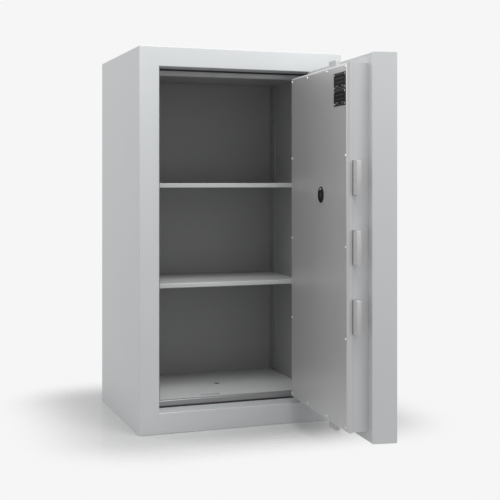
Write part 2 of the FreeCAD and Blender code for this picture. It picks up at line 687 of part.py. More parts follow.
def hinges():
    """Lift-off hinges: the frame's half stands below, with the pin; the door's half sits on it."""
    half = "hinge_height / 2"
    gap = "washer_height / 2"
    pins, washers = [], []
    for name, middle in HINGES:
        low, high = f"{middle} - {half}", f"{middle} + {half}"
        axis = ("hinge_x", "-hinge_ahead")
        barrel = bar(f"frame_barrel_{name}", "knuckle_radius", *axis, (low, f"{middle} - {gap}"))
        leaf = block(
            f"frame_plate_{name}", ("hinge_x + leaf_start", "hinge_x + leaf_start + leaf_width"),
            ("-leaf_plate", "0"), (low, high),
        )
        web = block(
            f"frame_web_{name}", ("hinge_x + leaf_start / 2", "hinge_x + leaf_start + 1"),
            ("-leaf_plate", "0"), (low, f"{middle} - {gap}"),
        )
        bore = bar(f"frame_bore_{name}", "pin_radius + fixed_gap", *axis, (f"{low} - 1", high))
        solid = fused(f"frame_hinge_{name}", [barrel, leaf, web])
        in_cabinet(f"hinge_leaf_frame_{name}", minus(f"hinge_leaf_frame_{name}", solid, [bore]))

        pin_top = f"{high} - leaf_plate - washer_height"
        pins.append(bar(f"pin_{name}", "pin_radius", *axis, (low, pin_top)))
        span = (f"{middle} - {gap}", f"{middle} + {gap}")
        ring = bar(f"washer_ring_{name}", "knuckle_radius - 1", *axis, span)
        eye = bar(f"washer_eye_{name}", "pin_radius + running_gap", *axis, (low, high))
        washers.append(minus(f"washer_{name}", ring, [eye]))

        above = f"{middle} + {gap} + face_gap"
        door_barrel = bar(f"door_barrel_{name}", "knuckle_radius", "0", "0", (above, high))
        face = "slab_front - leaf_seat"
        door_leaf = block(
            f"door_plate_{name}", ("-leaf_start - leaf_width", "-leaf_start"),
            (f"{face} - leaf_plate", face), (low, high),
        )
        seat = block(
            f"door_seat_{name}", ("-leaf_start - leaf_width", "slab_hinge - door_round"),
            (face, "slab_front"), (low, high),
        )
        door_web = block(
            f"door_web_{name}", ("-leaf_start - 1", "-leaf_start / 2"), (f"{face} - leaf_plate", face),
            (above, high),
        )
        blind = bar(f"door_bore_{name}", "pin_radius + running_gap", "0", "0", (low, f"{high} - leaf_plate"))
        door_solid = fused(f"door_hinge_{name}", [door_barrel, door_leaf, seat, door_web])
        on_door(f"hinge_leaf_door_{name}", minus(f"hinge_leaf_door_{name}", door_solid, [blind]))
    in_cabinet("hinge_pins", group("hinge_pins", pins))
    in_cabinet("hinge_washers", group("hinge_washers", washers))


# --- Door -------------------------------------------------------------------------------------

def door_slice(name, inset, y):
    """The door's plan, its lock edge an arc about the hinge axis so that it clears the jamb."""
    plan = block(
        name + "_plan", (f"{inset} - slab_radius", f"slab_hinge - ({inset})"), y,
        (f"slab_low + {inset}", f"slab_high - ({inset})"),
    )
    sweep = bar(name + "_sweep", f"slab_radius - ({inset})", "0", "0", ("0", "body_height"))
    return shared(name, plan, sweep)


def through_door(name, x, z, radius, y=("0", "case_back + 50")):
    return bar(name, radius, x, y, z)


def door_holes(name, gap="fixed_gap"):
    """Room for the two tubes that cross the door."""
    spindle = through_door(
        name + "_spindle", "spindle_x", "door_mid", f"spindle_radius + sleeve_wall + {gap}",
    )
    key = through_door(name + "_key", "lock_x", "lock_z", f"key_radius + key_tube_wall + {gap}")
    return [spindle, key]


def door_leaf():
    outside = door_slice("casing_outside", "0", ("slab_front", "slab_back"))
    front, back = size("slab_front"), size("slab_back")
    rim = lambda b: near(b.YLength, 0) and (near(b.YMin, front) or near(b.YMin, back))
    soft = rounded("casing_rounded", outside, "door_round", rim)
    inside = door_slice("casing_inside", "casing_plate", ("slab_front + casing_plate", "slab_back + 1"))
    on_door("door_casing", minus("door_casing", soft, [inside] + door_holes("casing_hole")))
    mass = door_slice("infill_slice", "casing_plate", ("slab_front + casing_plate", "slab_back - door_plate"))
    on_door("door_infill", minus("door_infill", mass, door_holes("door_infill_hole")))
    plate = door_slice("plate_slice", "casing_plate", ("slab_back - door_plate", "slab_back"))
    on_door("door_inner_plate", minus("door_inner_plate", plate, door_holes("inner_plate_hole")))


def tube(name, x, z, inner, wall, y):
    outside = through_door(name + "_outside", x, z, f"{inner} + {wall}", y)
    return minus(name, outside, [through_door(name + "_bore", x, z, inner)])


def door_tubes():
    on_door("spindle_sleeve", tube(
        "spindle_sleeve", "spindle_x", "door_mid", "spindle_radius + running_gap",
        "sleeve_wall - running_gap",
        ("slab_front", "slab_back + sleeve_rise"),
    ))
    on_door("key_sleeve", tube(
        "key_sleeve", "lock_x", "lock_z", "key_radius", "key_tube_wall", ("slab_front", "lock_front"),
    ))


def side_bolt_middles():
    return [
        ("upper", "door_mid + side_bolt_pitch"), ("middle", "door_mid"),
        ("lower", "door_mid - side_bolt_pitch"),
    ]


def side_bolt_space(name, middle, gap, x):
    return block(
        name, x, (f"bolt_front - ({gap})", f"bolt_back + {gap}"),
        (f"{middle} - side_bolt_height / 2 - ({gap})", f"{middle} + side_bolt_height / 2 + {gap}"),
    )


def end_bolt_space(name, gap, z):
    return block(
        name, (f"spindle_x - end_bolt_width / 2 - ({gap})", f"spindle_x + end_bolt_width / 2 + {gap}"),
        (f"bolt_front - ({gap})", f"bolt_back + {gap}"), z,
    )


def cover_screw_spots():
    """Corners, then the rows up the sides, then the rows along the top and bottom."""
    left, right = "case_lock + cover_screw_inset", "case_hinge - cover_screw_inset"
    low, high = "case_low + cover_screw_inset", "case_high - cover_screw_inset"
    spots = [(x, z) for x in (left, right) for z in (low, high)]
    for x in (left, right):
        spots += [(x, f"door_mid {step}") for step in ("- cover_screw_rise", "", "+ cover_screw_rise")]
    for z in (low, high):
        spots += [(f"case_mid {sign} cover_screw_step", z) for sign in "-+"]
    return spots


def case_box(name, inset, y):
    return block(
        name, (f"case_lock + {inset}", f"case_hinge - ({inset})"), y,
        (f"case_low + {inset}", f"case_high - ({inset})"),
    )


def lock_case():
    """Four walls with a turned-in flange, slotted for the bolts, that the back cover fits over."""
    walls = case_box("case_walls", "case_skin", ("slab_back", "case_back - case_skin"))
    rim = size("case_back") - size("case_skin")
    soft = rounded("case_rounded", walls, "case_bend", lambda b: near(b.YMin, rim))
    room = case_box(
        "case_room", "case_skin + case_sheet", ("slab_back - 1", "case_back - case_skin - case_sheet"),
    )
    window = case_box("case_window", "case_flange", ("slab_back", "case_back + 1"))
    slots = [
        side_bolt_space(
            f"case_slot_{name}", middle, "bolt_slot_gap", ("case_lock - 1", "case_lock + guide_length"),
        )
        for name, middle in side_bolt_middles()
    ]
    for name, z in (
        ("low", ("case_low - 1", "case_low + guide_length")),
        ("high", ("case_high - guide_length", "case_high + 1")),
    ):
        slots.append(end_bolt_space(f"case_slot_{name}", "bolt_slot_gap", z))
    holes = [
        through_door(f"case_screw_hole_{i}", x, z, "screw_radius + fixed_gap", ("bolt_back + 1", "case_back"))
        for i, (x, z) in enumerate(cover_screw_spots())
    ]
    on_door("lock_case", minus("lock_case", soft, [room, window] + slots + holes))


def back_cover():
    """A pan with soft bends that closes the lock case."""
    pans = []
    for name, inset, bend, y in (
        ("outside", "0", "cover_bend", ("case_back - cover_lip", "case_back")),
        (
            "inside", "cover_sheet", "cover_inner_bend",
            ("case_back - cover_lip - 10", "case_back - cover_sheet"),
        ),
    ):
        solid = case_box(f"cover_{name}", inset, y)
        doc.recompute()
        rim = solid.Shape.BoundBox.YMax
        pans.append(rounded(f"cover_{name}_rounded", solid, bend, lambda b, rim=rim: near(b.YMin, rim)))
    holes = [
        through_door(f"cover_screw_hole_{i}", x, z, "screw_radius + fixed_gap")
        for i, (x, z) in enumerate(cover_screw_spots())
    ]
    key = through_door("cover_key_hole", "lock_x", "lock_z", "key_radius")
    post_hole = through_door(
        "cover_pivot_hole", "lock_x", "lock_z + disc_pivot_rise", "pivot_radius + fixed_gap",
    )
    on_door("back_cover", minus("back_cover", pans[0], [pans[1], key, post_hole] + holes))
    screws = []
    shank_span = ("case_back - screw_length", "case_back")
    head_span = ("case_back", "case_back + screw_head")
    for i, (x, z) in enumerate(cover_screw_spots()):
        shank = through_door(f"screw_shank_{i}", x, z, "screw_radius", shank_span)
        head = through_door(f"screw_head_{i}", x, z, "screw_head_radius", head_span)
        screws.append(fused(f"screw_{i}", [shank, head]))
    on_door("cover_screws", group("cover_screws", screws))


def blank_plates():
    rivets = []
    for name, drop in (("plate_upper", "0"), ("plate_lower", "plate_height + plate_gap")):
        corners = [
            ("0", "0"), ("plate_length", "0"), ("plate_length", "plate_height"), ("0", "plate_height"),
        ]
        body, sketch = outline(name, "XZ_Plane", corners)
        sheet = pad(body, sketch, "plate_thickness", reverse=True)
        body_fillet(body, sheet, "plate_corner", lambda b: b.XLength < 1e-4 and b.ZLength < 1e-4)
        low = f"plate_top - plate_height - ({drop})"
        on_door(name, body, "plate_left", "case_back", low)
        for i, x in enumerate(("rivet_inset", "plate_length - rivet_inset")):
            for j, z in enumerate(("rivet_inset", "plate_height - rivet_inset")):
                rivets.append(through_door(
                    f"{name}_rivet_{i}{j}", f"plate_left + {x}", f"{low} + {z}", "rivet_radius",
                    ("case_back + plate_thickness", "case_back + plate_thickness + rivet_height"),
                ))
    on_door("plate_rivets", group("plate_rivets", rivets))


def fixed_bolt_work():
    """Dogs on the hinge side, and the guide blocks of every bolt and rod."""
    dogs = [
        block(
            f"dog_{i}", ("case_hinge - case_skin", "stop_right + dog_engage - hinge_x"),
            ("slab_back + dog_front", "slab_back + dog_front + dog_thickness"),
            (f"door_mid + {i} * dog_pitch - dog_height / 2", f"door_mid + {i} * dog_pitch + dog_height / 2"),
        )
        for i in (-1, 0, 1)
    ]
    on_door("hinge_side_dogs", group("hinge_side_dogs", dogs))

    deep = ("slab_back", "bolt_back + guide_back")
    start = "case_lock + case_skin + case_sheet + 1"
    side = []
    for name, middle in side_bolt_middles():
        reach = "side_bolt_height / 2 + guide_wall"
        solid = block(
            f"side_guide_{name}_block", (start, f"{start} + guide_length"), deep,
            (f"{middle} - ({reach})", f"{middle} + {reach}"),
        )
        slot = side_bolt_space(f"side_guide_{name}_slot", middle, "slide_gap", ("case_lock", "case_mid"))
        side.append(minus(f"side_guide_{name}", solid, [slot]))
    on_door("side_bolt_guides", group("side_bolt_guides", side))

    ends = []
    inset = "case_skin + case_sheet + 1"
    for name, z in (
        ("top", (f"case_high - ({inset}) - guide_length", f"case_high - ({inset})")),
        ("bottom", (f"case_low + {inset}", f"case_low + {inset} + guide_length")),
    ):
        half = "end_bolt_width / 2 + guide_wall"
        solid = block(f"end_guide_{name}_block", (f"spindle_x - ({half})", f"spindle_x + {half}"), deep, z)
        slot = end_bolt_space(f"end_guide_{name}_slot", "slide_gap", ("0", "body_height"))
        ends.append(minus(f"end_guide_{name}", solid, [slot]))
    on_door("end_bolt_guides", group("end_bolt_guides", ends))

    rods = []
    for name, middle in (("top", "door_mid + rod_guide_offset"), ("bottom", "door_mid - rod_guide_offset")):
        half = "rod_width / 2 + guide_wall"
        solid = block(
            f"rod_guide_{name}_block", (f"spindle_x - ({half})", f"spindle_x + {half}"),
            ("slab_back", "rod_back + guide_back"),
            (f"{middle} - guide_length / 2", f"{middle} + guide_length / 2"),
        )
        slot = rod_space(f"rod_guide_{name}_slot", "slide_gap", ("0", "body_height"))
        rods.append(minus(f"rod_guide_{name}", solid, [slot]))
    on_door("rod_guides", group("rod_guides", rods))


def rod_space(name, gap, z):
    return block(
        name, (f"spindle_x - rod_width / 2 - ({gap})", f"spindle_x + rod_width / 2 + {gap}"),
        (f"rod_front - ({gap})", f"rod_back + {gap}"), z,
    )


# --- Moving bolt work -------------------------------------------------------------------------

def side_bolts():
    for name, middle in side_bolt_middles():
        title = f"side_bolt_{name}"
        on_door(title, side_bolt_space(title, middle, "0", ("side_tip", "side_tail")))
    reach = "side_bolt_pitch + side_bolt_height / 2"
    y = ("bolt_front - carrier_thickness", "bolt_front")
    upright = block(
        "carrier_upright", ("carrier_left", "carrier_left + carrier_width"), y,
        (f"door_mid - ({reach})", f"door_mid + {reach}"),
    )
    pin_x = "spindle_x - cam_pin_far"
    arm = block(
        "carrier_arm", ("carrier_left", f"{pin_x} + arm_end"), y,
        ("door_mid - arm_height / 2", "door_mid + arm_height / 2"),
    )
    pin = through_door("carrier_pin", pin_x, "door_mid", "drive_pin_radius", ("bolt_front - 1", "pin_end"))
    on_door("bolt_carrier", fused("bolt_carrier", [upright, arm, pin]))


def end_bolts():
    """Top and bottom bolts, each on a rod with a drive pin at its inner end."""
    for name, tip, sign in (("top", "top_tip", "+"), ("bottom", "bottom_tip", "-")):
        back = "-" if sign == "+" else "+"
        tail = f"{tip} {back} end_bolt_length"
        pin_z = f"door_mid {sign} cam_pin_far"
        foot = f"{pin_z} {back} rod_width / 2"
        up = sign == "+"
        on_door(f"{name}_bolt", end_bolt_space(f"{name}_bolt", "0", (tail, tip) if up else (tip, tail)))
        shaft = rod_space(f"{name}_shaft", "0", (foot, tail) if up else (tail, foot))
        pin = through_door(f"{name}_pin", "spindle_x", pin_z, "drive_pin_radius", ("rod_back - 1", "pin_end"))
        on_door(f"{name}_rod", fused(f"{name}_rod", [shaft, pin]))
    low = "lock_z + lock_bolt_height / 2 + lug_gap"
    on_door("locking_lug", block(
        "locking_lug", ("spindle_x + rod_width / 2", "spindle_x + rod_width / 2 + lug_width"),
        ("rod_front", "rod_back"), (low, f"{low} + lug_height"),
    ))


def spiral_slot(start_angle):
    """One cam slot about the spindle: its radius falls evenly as the cam turns, so the pin moves evenly."""
    far, rate, turn = size("cam_pin_far"), size("cam_rate"), math.radians(size("cam_turn"))
    half = size("drive_pin_radius") + size("drive_pin_gap")
    steps = 12
    sides = {1: [], -1: []}
    ends = []
    for i in range(steps + 1):
        swept = turn * i / steps
        angle = start_angle - swept
        radius = far - rate * swept
        centre = Vector(radius * math.cos(angle), 0, -radius * math.sin(angle))
        onward = Vector(
            -rate * math.cos(angle) + radius * math.sin(angle), 0,
            rate * math.sin(angle) + radius * math.cos(angle),
        ).normalize()
        across = Vector(onward.z, 0, -onward.x)
        for sign, points in sides.items():
            points.append(centre + across * (sign * half))
        if i in (0, steps):
            ends.append(centre + onward * (half if i else -half))
    edges = []
    for points in sides.values():
        curve = Part.BSplineCurve()
        curve.interpolate(points)
        edges.append(curve.toShape())
    edges.append(Part.Arc(sides[1][0], ends[0], sides[-1][0]).toShape())
    edges.append(Part.Arc(sides[1][-1], ends[1], sides[-1][-1]).toShape())
    face = Part.Face(Part.Wire(Part.__sortEdges__(edges)))
    return face.extrude(Vector(0, size("cam_thickness") + 2, 0))


def handle():
    disc = through_door("cam_blank", "spindle_x", "door_mid", "cam_radius", ("cam_front", "cam_back"))
    slots = []
    for name, degrees in (("side", 180), ("top", 270), ("bottom", 90)):
        slot = doc.addObject("Part::Feature", f"cam_slot_{name}")
        slot.Shape = spiral_slot(math.radians(degrees))
        place(slot, "spindle_x", "cam_front - 1", "door_mid")
        slots.append(slot)
    eye = through_door("cam_eye", "spindle_x", "door_mid", "spindle_radius + fixed_gap")
    on_door("cam_disc", minus("cam_disc", disc, slots + [eye]))

    hub = ("slab_front - rose_height - hub_gap - hub_height", "slab_front - rose_height - hub_gap")
    on_door("handle_spindle", through_door(
        "handle_spindle", "spindle_x", "door_mid", "spindle_radius",
        (f"{hub[0]} + lever_thickness", "cam_back + spindle_end"),
    ))
    on_door("handle_rose", tube(
        "handle_rose", "spindle_x", "door_mid", "spindle_radius + hub_gap",
        "rose_radius - spindle_radius - hub_gap", ("slab_front - rose_height", "slab_front"),
    ))
    body, sketch = outline("lever_blank", "XZ_Plane", [
        ("0", "0"), ("lever_length", "(lever_width - lever_tip_width) / 2"),
        ("lever_length", "(lever_width + lever_tip_width) / 2"), ("0", "lever_width"),
    ])
    blank = pad(body, sketch, "lever_thickness", reverse=True)
    length = size("lever_length")
    body_fillet(body, blank, "lever_round", lambda b: b.XLength > length - 1 or near(b.XMin, length))
    place(body, "spindle_x", hub[0], "door_mid - lever_width / 2")
    barrel = through_door("lever_hub", "spindle_x", "door_mid", "hub_radius", hub)
    socket = through_door(
        "lever_socket", "spindle_x", "door_mid", "spindle_radius + fixed_gap",
        (f"{hub[0]} + lever_thickness", "slab_back"),
    )
    on_door("handle_lever", minus("handle_lever", fused("lever_solid", [body, barrel]), [socket]))


# --- Lock and its small covers ----------------------------------------------------------------

def lock():
    x = ("lock_left", "lock_left + lock_width")
    z = ("lock_z - lock_height / 2", "lock_z + lock_height / 2")
    margin = "hard_plate_margin"
    plate = block(
        "hard_plate_blank", (x[0], f"{x[1]} + {margin}"), ("slab_back", "lock_front"),
        (f"{z[0]} - {margin}", f"{z[1]} + {margin}"),
    )
    way = through_door("hard_plate_hole", "lock_x", "lock_z", "key_radius + key_tube_wall + fixed_gap")
    on_door("hard_plate", minus("hard_plate", plate, [way]))
    case = block("lock_blank", x, ("lock_front", "lock_front + lock_depth"), z)
    keyway = through_door("lock_keyway", "lock_x", "lock_z", "key_radius")

    def bolt_space(name, gap, x_span):
        return block(
            name, x_span, (f"lock_bolt_back - lock_bolt_thickness - ({gap})", f"lock_bolt_back + {gap}"),
            (f"lock_z - lock_bolt_height / 2 - ({gap})", f"lock_z + lock_bolt_height / 2 + {gap}"),
        )

    slot = bolt_space("lock_slot", "lock_bolt_play", ("lock_left - 1", "lock_left + lock_bolt_length + 1"))
    on_door("lock_body", minus("lock_body", case, [keyway, slot]))
    on_door("lock_bolt", bolt_space("lock_bolt", "0", ("lock_left", "lock_left + lock_bolt_length")))


def pivot(name, x, z, seat, sheet, outward):
    """A shank through a cover with a head clear of it; outward is -1 before the door, 1 behind."""
    sign = "+" if outward > 0 else "-"
    under = f"{seat} {sign} ({sheet} + 2 * face_gap)"
    over = f"{under} {sign} pivot_head"
    shank_ends = (seat, under) if outward > 0 else (under, seat)
    head_ends = (under, over) if outward > 0 else (over, under)
    shank = through_door(name + "_shank", x, z, "pivot_radius", shank_ends)
    head = through_door(name + "_head", x, z, "pivot_head_radius", head_ends)
    return fused(name, [shank, head])


def small_covers():
    face = "slab_front - escutcheon_height"
    on_door("keyhole_escutcheon", tube(
        "keyhole_escutcheon", "lock_x", "lock_z", "key_radius", "escutcheon_radius - key_radius",
        (face, "slab_front"),
    ))
    pivot_z = "lock_z + flap_pivot_rise"
    y = (f"{face} - face_gap - flap_thickness", f"{face} - face_gap")
    flap = fused("flap_solid", [
        through_door("flap_lobe", "lock_x", "lock_z", "flap_radius", y),
        through_door("flap_neck", "lock_x", pivot_z, "flap_neck_radius", y),
        block("flap_web", ("lock_x - flap_neck_radius", "lock_x + flap_neck_radius"), y, ("lock_z", pivot_z)),
    ])
    eye = through_door("flap_eye", "lock_x", pivot_z, "pivot_radius + running_gap", ("-50", "50"))
    on_door("keyhole_cover", minus("keyhole_cover", flap, [eye]))
    flap_pin = pivot("keyhole_cover_pivot", "lock_x", pivot_z, face, "flap_thickness", -1)
    on_door("keyhole_cover_pivot", flap_pin)

    disc_z = "lock_z + disc_pivot_rise"
    seat = "case_back + face_gap"
    disc = through_door("disc_blank", "lock_x", "lock_z", "disc_radius", (seat, f"{seat} + disc_thickness"))
    hole = through_door("disc_eye", "lock_x", disc_z, "pivot_radius + running_gap")
    on_door("change_key_cover", minus("change_key_cover", disc, [hole]))
    post = pivot("disc_post", "lock_x", disc_z, "case_back", "disc_thickness", 1)
    root = through_door(
        "disc_post_root", "lock_x", disc_z, "pivot_radius", ("case_back - cover_sheet", "case_back + 1"),
    )
    on_door("change_key_pivot", fused("change_key_pivot", [post, root]))


def check_and_write():
    """Refuses a failed feature or a broken solid, then writes one STEP file for each piece."""
    doc.recompute()
    for thing in doc.Objects:
        if "Invalid" in thing.State or "Error" in thing.State:
            raise RuntimeError(f"{thing.Name} failed: {thing.State}")
    for name, thing in nodes.items():
        if thing.Shape.isNull() or not thing.Shape.isValid() or not thing.Shape.Solids:
            raise RuntimeError(f"{name} has no sound solid")
    os.makedirs("parts", exist_ok=True)
    for name, thing in nodes.items():
        thing.Shape.exportStep(f"parts/{name}.step")
    print(len(nodes), "pieces written")


for make in (
    outer_skin, anchor_sleeve, front_frame, door_stop, inner_skin, barrier_infill, shelves, rails_and_clips,
    hinges, door_leaf, door_tubes, lock_case, back_cover, blank_plates, fixed_bolt_work,
    side_bolts, end_bolts, handle, lock, small_covers, check_and_write,
):
    make()
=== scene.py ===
"""Safe cabinet: finishes, small fittings, studio stage and camera."""
import json
import math

import bmesh
import bpy
from bpy.props import FloatProperty, FloatVectorProperty, IntProperty, PointerProperty
from mathutils import Matrix, Vector


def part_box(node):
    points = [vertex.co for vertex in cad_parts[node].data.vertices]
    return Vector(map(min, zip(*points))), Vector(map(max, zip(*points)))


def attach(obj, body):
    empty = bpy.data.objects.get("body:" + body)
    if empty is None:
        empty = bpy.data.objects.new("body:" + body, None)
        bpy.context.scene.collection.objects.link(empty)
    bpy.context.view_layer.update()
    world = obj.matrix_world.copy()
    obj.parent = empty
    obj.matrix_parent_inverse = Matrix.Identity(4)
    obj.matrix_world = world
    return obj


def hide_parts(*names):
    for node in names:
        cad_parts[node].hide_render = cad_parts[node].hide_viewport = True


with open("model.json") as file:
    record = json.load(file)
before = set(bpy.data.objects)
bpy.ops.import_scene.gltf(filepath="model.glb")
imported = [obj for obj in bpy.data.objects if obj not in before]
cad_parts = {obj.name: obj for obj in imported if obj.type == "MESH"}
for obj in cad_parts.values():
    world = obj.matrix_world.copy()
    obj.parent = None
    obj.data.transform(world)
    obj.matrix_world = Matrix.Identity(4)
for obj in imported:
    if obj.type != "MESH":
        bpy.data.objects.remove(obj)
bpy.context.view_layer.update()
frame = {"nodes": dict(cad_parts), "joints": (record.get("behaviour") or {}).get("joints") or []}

bl_info = {
    "name": "Safe Cabinet Dresser",
    "version": (1, 0, 0),
    "blender": (4, 5, 0),
    "location": "3D View > Sidebar > Safe",
    "description": "Gives a safe cabinet its paint, metals, screws, rivets, plates, welds and studio",
    "category": "Object",
}

NODES = frame["nodes"]


def joint(name):
    return next(j for j in frame["joints"] if j["name"] == name)


HINGE = joint("door_swing")
OPEN_ANGLE = -math.radians(HINGE["range_deg"][0])
# From the shut door's own axes, with the hinge line as their origin, to the model's.
LEAF = Matrix.Translation((HINGE["pos_m"][0], HINGE["pos_m"][1], 0)) @ Matrix.Rotation(OPEN_ANGLE, 4, "Z")


# --- Sizes and colours a user would change -----------------------------------------------------

def colour(name, description, default):
    return FloatVectorProperty(
        name=name, description=description, default=default, subtype="COLOR", size=3, min=0, max=1,
    )


def length(name, description, default):
    return FloatProperty(
        name=name, description=description, default=default, min=0, subtype="DISTANCE", unit="LENGTH",
        precision=5,
    )


def factor(name, description, default, top=1.0):
    return FloatProperty(
        name=name, description=description, default=default, min=0, max=top, subtype="FACTOR",
    )


def power(name, description, default):
    return FloatProperty(name=name, description=description, default=default, min=0, unit="POWER")


class SafeColours(bpy.types.PropertyGroup):
    """Colours of the finishes."""
    enamel: colour("Enamel", "Light grey paint of the body and the door", (0.595, 0.612, 0.622))
    case_enamel: colour("Case enamel", "Paint of the lock case", (0.58, 0.585, 0.595))
    cover: colour("Back cover", "Satin steel sheet over the lock case", (0.67, 0.667, 0.67))
    # Inside walls: the body's light grey paint darkened, as painted shade for the inside of the safe.
    inner_enamel_painted_shade: colour("Inner enamel", "Paint of the inside walls", (0.37, 0.372, 0.376))
    shelf_enamel: colour("Shelf enamel", "Paint of the shelves and the inside floor", (0.64, 0.645, 0.65))
    stop: colour("Door stop", "Dark satin steel of the door stop", (0.36, 0.36, 0.365))
    steel: colour("Bright steel", "Bolts, pins and spindle", (0.62, 0.62, 0.625))
    rolled: colour("Rolled steel", "Plain hidden steelwork", (0.30, 0.30, 0.31))
    zinc: colour("Zinc plate", "Slotted rails and clips", (0.50, 0.51, 0.52))
    screw: colour("Screws", "Bright plating of the cover screws and plate rivets", (0.88, 0.88, 0.88))
    chrome: colour("Chrome", "Handle and keyhole fittings", (0.72, 0.72, 0.73))
    brass: colour("Brass", "Washers, key tube and lock bolt", (0.70, 0.48, 0.20))
    concrete: colour("Concrete", "Filling between the skins", (0.36, 0.35, 0.33))
    black: colour("Black plate", "Blank plates and the change-key cover", (0.006, 0.006, 0.007))
    marking: colour("Marking", "Border lines and index marks", (0.34, 0.345, 0.35))
    seal: colour("Seal", "Fire seal strip", (0.045, 0.045, 0.048))
    floor: colour("Floor", "Studio floor", (0.52, 0.52, 0.52))


class SafeSizes(bpy.types.PropertyGroup):
    """Sizes of the small fittings and of the softened edges."""
    plate_edge: length("Plate edge", "Rounding of sheet and plate edges", 0.0006)
    bolt_edge: length("Bolt edge", "Rounding of the bolts' edges", 0.0012)
    screw_head: length("Screw head", "Radius of the cover screws' heads", 0.0042)
    screw_height: length("Screw height", "Height of the cover screws' heads", 0.0028)
    recess_length: length("Recess length", "Length of the cross recess", 0.0046)
    recess_width: length("Recess width", "Width of the cross recess", 0.0009)
    rivet_radius: length("Rivet radius", "Radius of the plate rivets", 0.0024)
    rivet_height: length("Rivet height", "Height of the plate rivets", 0.0010)
    plate_corner: length("Plate corner", "Corner radius of the blank plates", 0.0020)
    border_inset: length("Border inset", "Plate edge to its border line", 0.0040)
    border_width: length("Border width", "Width of the border line", 0.0008)
    bead_radius: length("Weld bead", "Radius of the weld beads at the hinges", 0.0024)
    bead_ripple: length("Weld ripple", "Height of the ripples in the weld beads", 0.0005)
    bead_pitch: length("Weld pitch", "Ripple to ripple along a weld bead", 0.0030)
    index_marks: IntProperty(
        name="Index marks", description="Marks on the change-key cover", default=12, min=2,
    )


class SafeStudio(bpy.types.PropertyGroup):
    """Light and backdrop."""
    overhead: power("Overhead light", "Soft box above", 60.0)
    front: power("Front light", "Soft box at the front right", 22.0)
    rear: power("Rear light", "Soft box at the rear left", 42.0)
    ambient: factor("Ambient", "Light from all round", 0.59, 2.0)
    backdrop: factor("Backdrop", "Brightness of the backdrop", 0.921, 2.0)
    floor_reach: length("Floor reach", "Distance round the safe over which the floor fades away", 0.45)


def colours():
    return bpy.context.scene.safe_colours


def sizes():
    return bpy.context.scene.safe_sizes


# --- Node building -----------------------------------------------------------------------------

def feed(tree, socket, value):
    """Links a socket to another one, or sets its value."""
    if isinstance(value, bpy.types.NodeSocket):
        tree.links.new(value, socket)
    else:
        socket.default_value = value


def add(tree, kind, inputs=None, **settings):
    """A node with its settings, and its inputs given as values or as sockets to link."""
    node = tree.nodes.new(kind)
    for name, value in settings.items():
        setattr(node, name, value)
    for key, value in (inputs or {}).items():
        feed(tree, node.inputs[key], value)
    return node


def group_tree(kind, name, inputs, outputs):
    """An empty node group with its sockets, and its input and output nodes."""
    tree = bpy.data.node_groups.new(name, kind)
    for title, sort, default in inputs:
        socket = tree.interface.new_socket(name=title, in_out="INPUT", socket_type="NodeSocket" + sort)
        if default is not None:
            socket.default_value = default
    for title, sort in outputs:
        tree.interface.new_socket(name=title, in_out="OUTPUT", socket_type="NodeSocket" + sort)
    return tree, tree.nodes.new("NodeGroupInput"), tree.nodes.new("NodeGroupOutput")


def maths(tree, operation, a, b=0.0):
    return add(tree, "ShaderNodeMath", {0: a, 1: b}, operation=operation).outputs[0]


def mix_colours(tree, amount, a, b):
    node = add(tree, "ShaderNodeMix", data_type="RGBA")
    for index, value in ((0, amount), (6, a), (7, b)):
        feed(tree, node.inputs[index], value)
    return node.outputs[2]


def tint_group():
    """Cloudy change of shade and of gloss over a surface."""
    tree, into, out = group_tree(
        "ShaderNodeTree", "Cloudy tint",
        [("Vector", "Vector", None), ("Color", "Color", (0.6, 0.6, 0.6, 1)),
         ("Shade", "Color", (0.5, 0.5, 0.5, 1)), ("Scale", "Float", 4.0), ("Amount", "Float", 0.5),
         ("Roughness", "Float", 0.4), ("Swing", "Float", 0.08)],
        [("Color", "Color"), ("Roughness", "Float")],
    )
    broad = add(tree, "ShaderNodeTexNoise", {
        "Vector": into.outputs["Vector"], "Scale": into.outputs["Scale"], "Detail": 4.0, "Roughness": 0.55,
    })
    share = maths(tree, "MULTIPLY", broad.outputs["Fac"], into.outputs["Amount"])
    shade = mix_colours(tree, share, into.outputs["Color"], into.outputs["Shade"])
    tree.links.new(shade, out.inputs["Color"])
    swing = maths(tree, "MULTIPLY", maths(tree, "SUBTRACT", broad.outputs["Fac"], 0.5), into.outputs["Swing"])
    tree.links.new(maths(tree, "ADD", into.outputs["Roughness"], swing), out.inputs["Roughness"])
    return tree


def peel_group():
    """The fine waviness of sprayed and baked paint, as a height."""
    tree, into, out = group_tree(
        "ShaderNodeTree", "Paint peel",
        [("Vector", "Vector", None), ("Pitch", "Float", 0.0016), ("Speckle", "Float", 0.3)],
        [("Height", "Float"), ("Speckle", "Float")],
    )
    scale = maths(tree, "DIVIDE", 1.0, into.outputs["Pitch"])
    wave = add(tree, "ShaderNodeTexNoise", {
        "Vector": into.outputs["Vector"], "Scale": scale, "Detail": 2.0, "Roughness": 0.5,
    })
    grit = add(tree, "ShaderNodeTexNoise", {
        "Vector": into.outputs["Vector"], "Scale": maths(tree, "MULTIPLY", scale, 3.1), "Detail": 1.0,
    })
    rough = maths(tree, "MULTIPLY", grit.outputs["Fac"], into.outputs["Speckle"])
    tree.links.new(maths(tree, "ADD", wave.outputs["Fac"], rough), out.inputs["Height"])
    tree.links.new(grit.outputs["Fac"], out.inputs["Speckle"])
    return tree


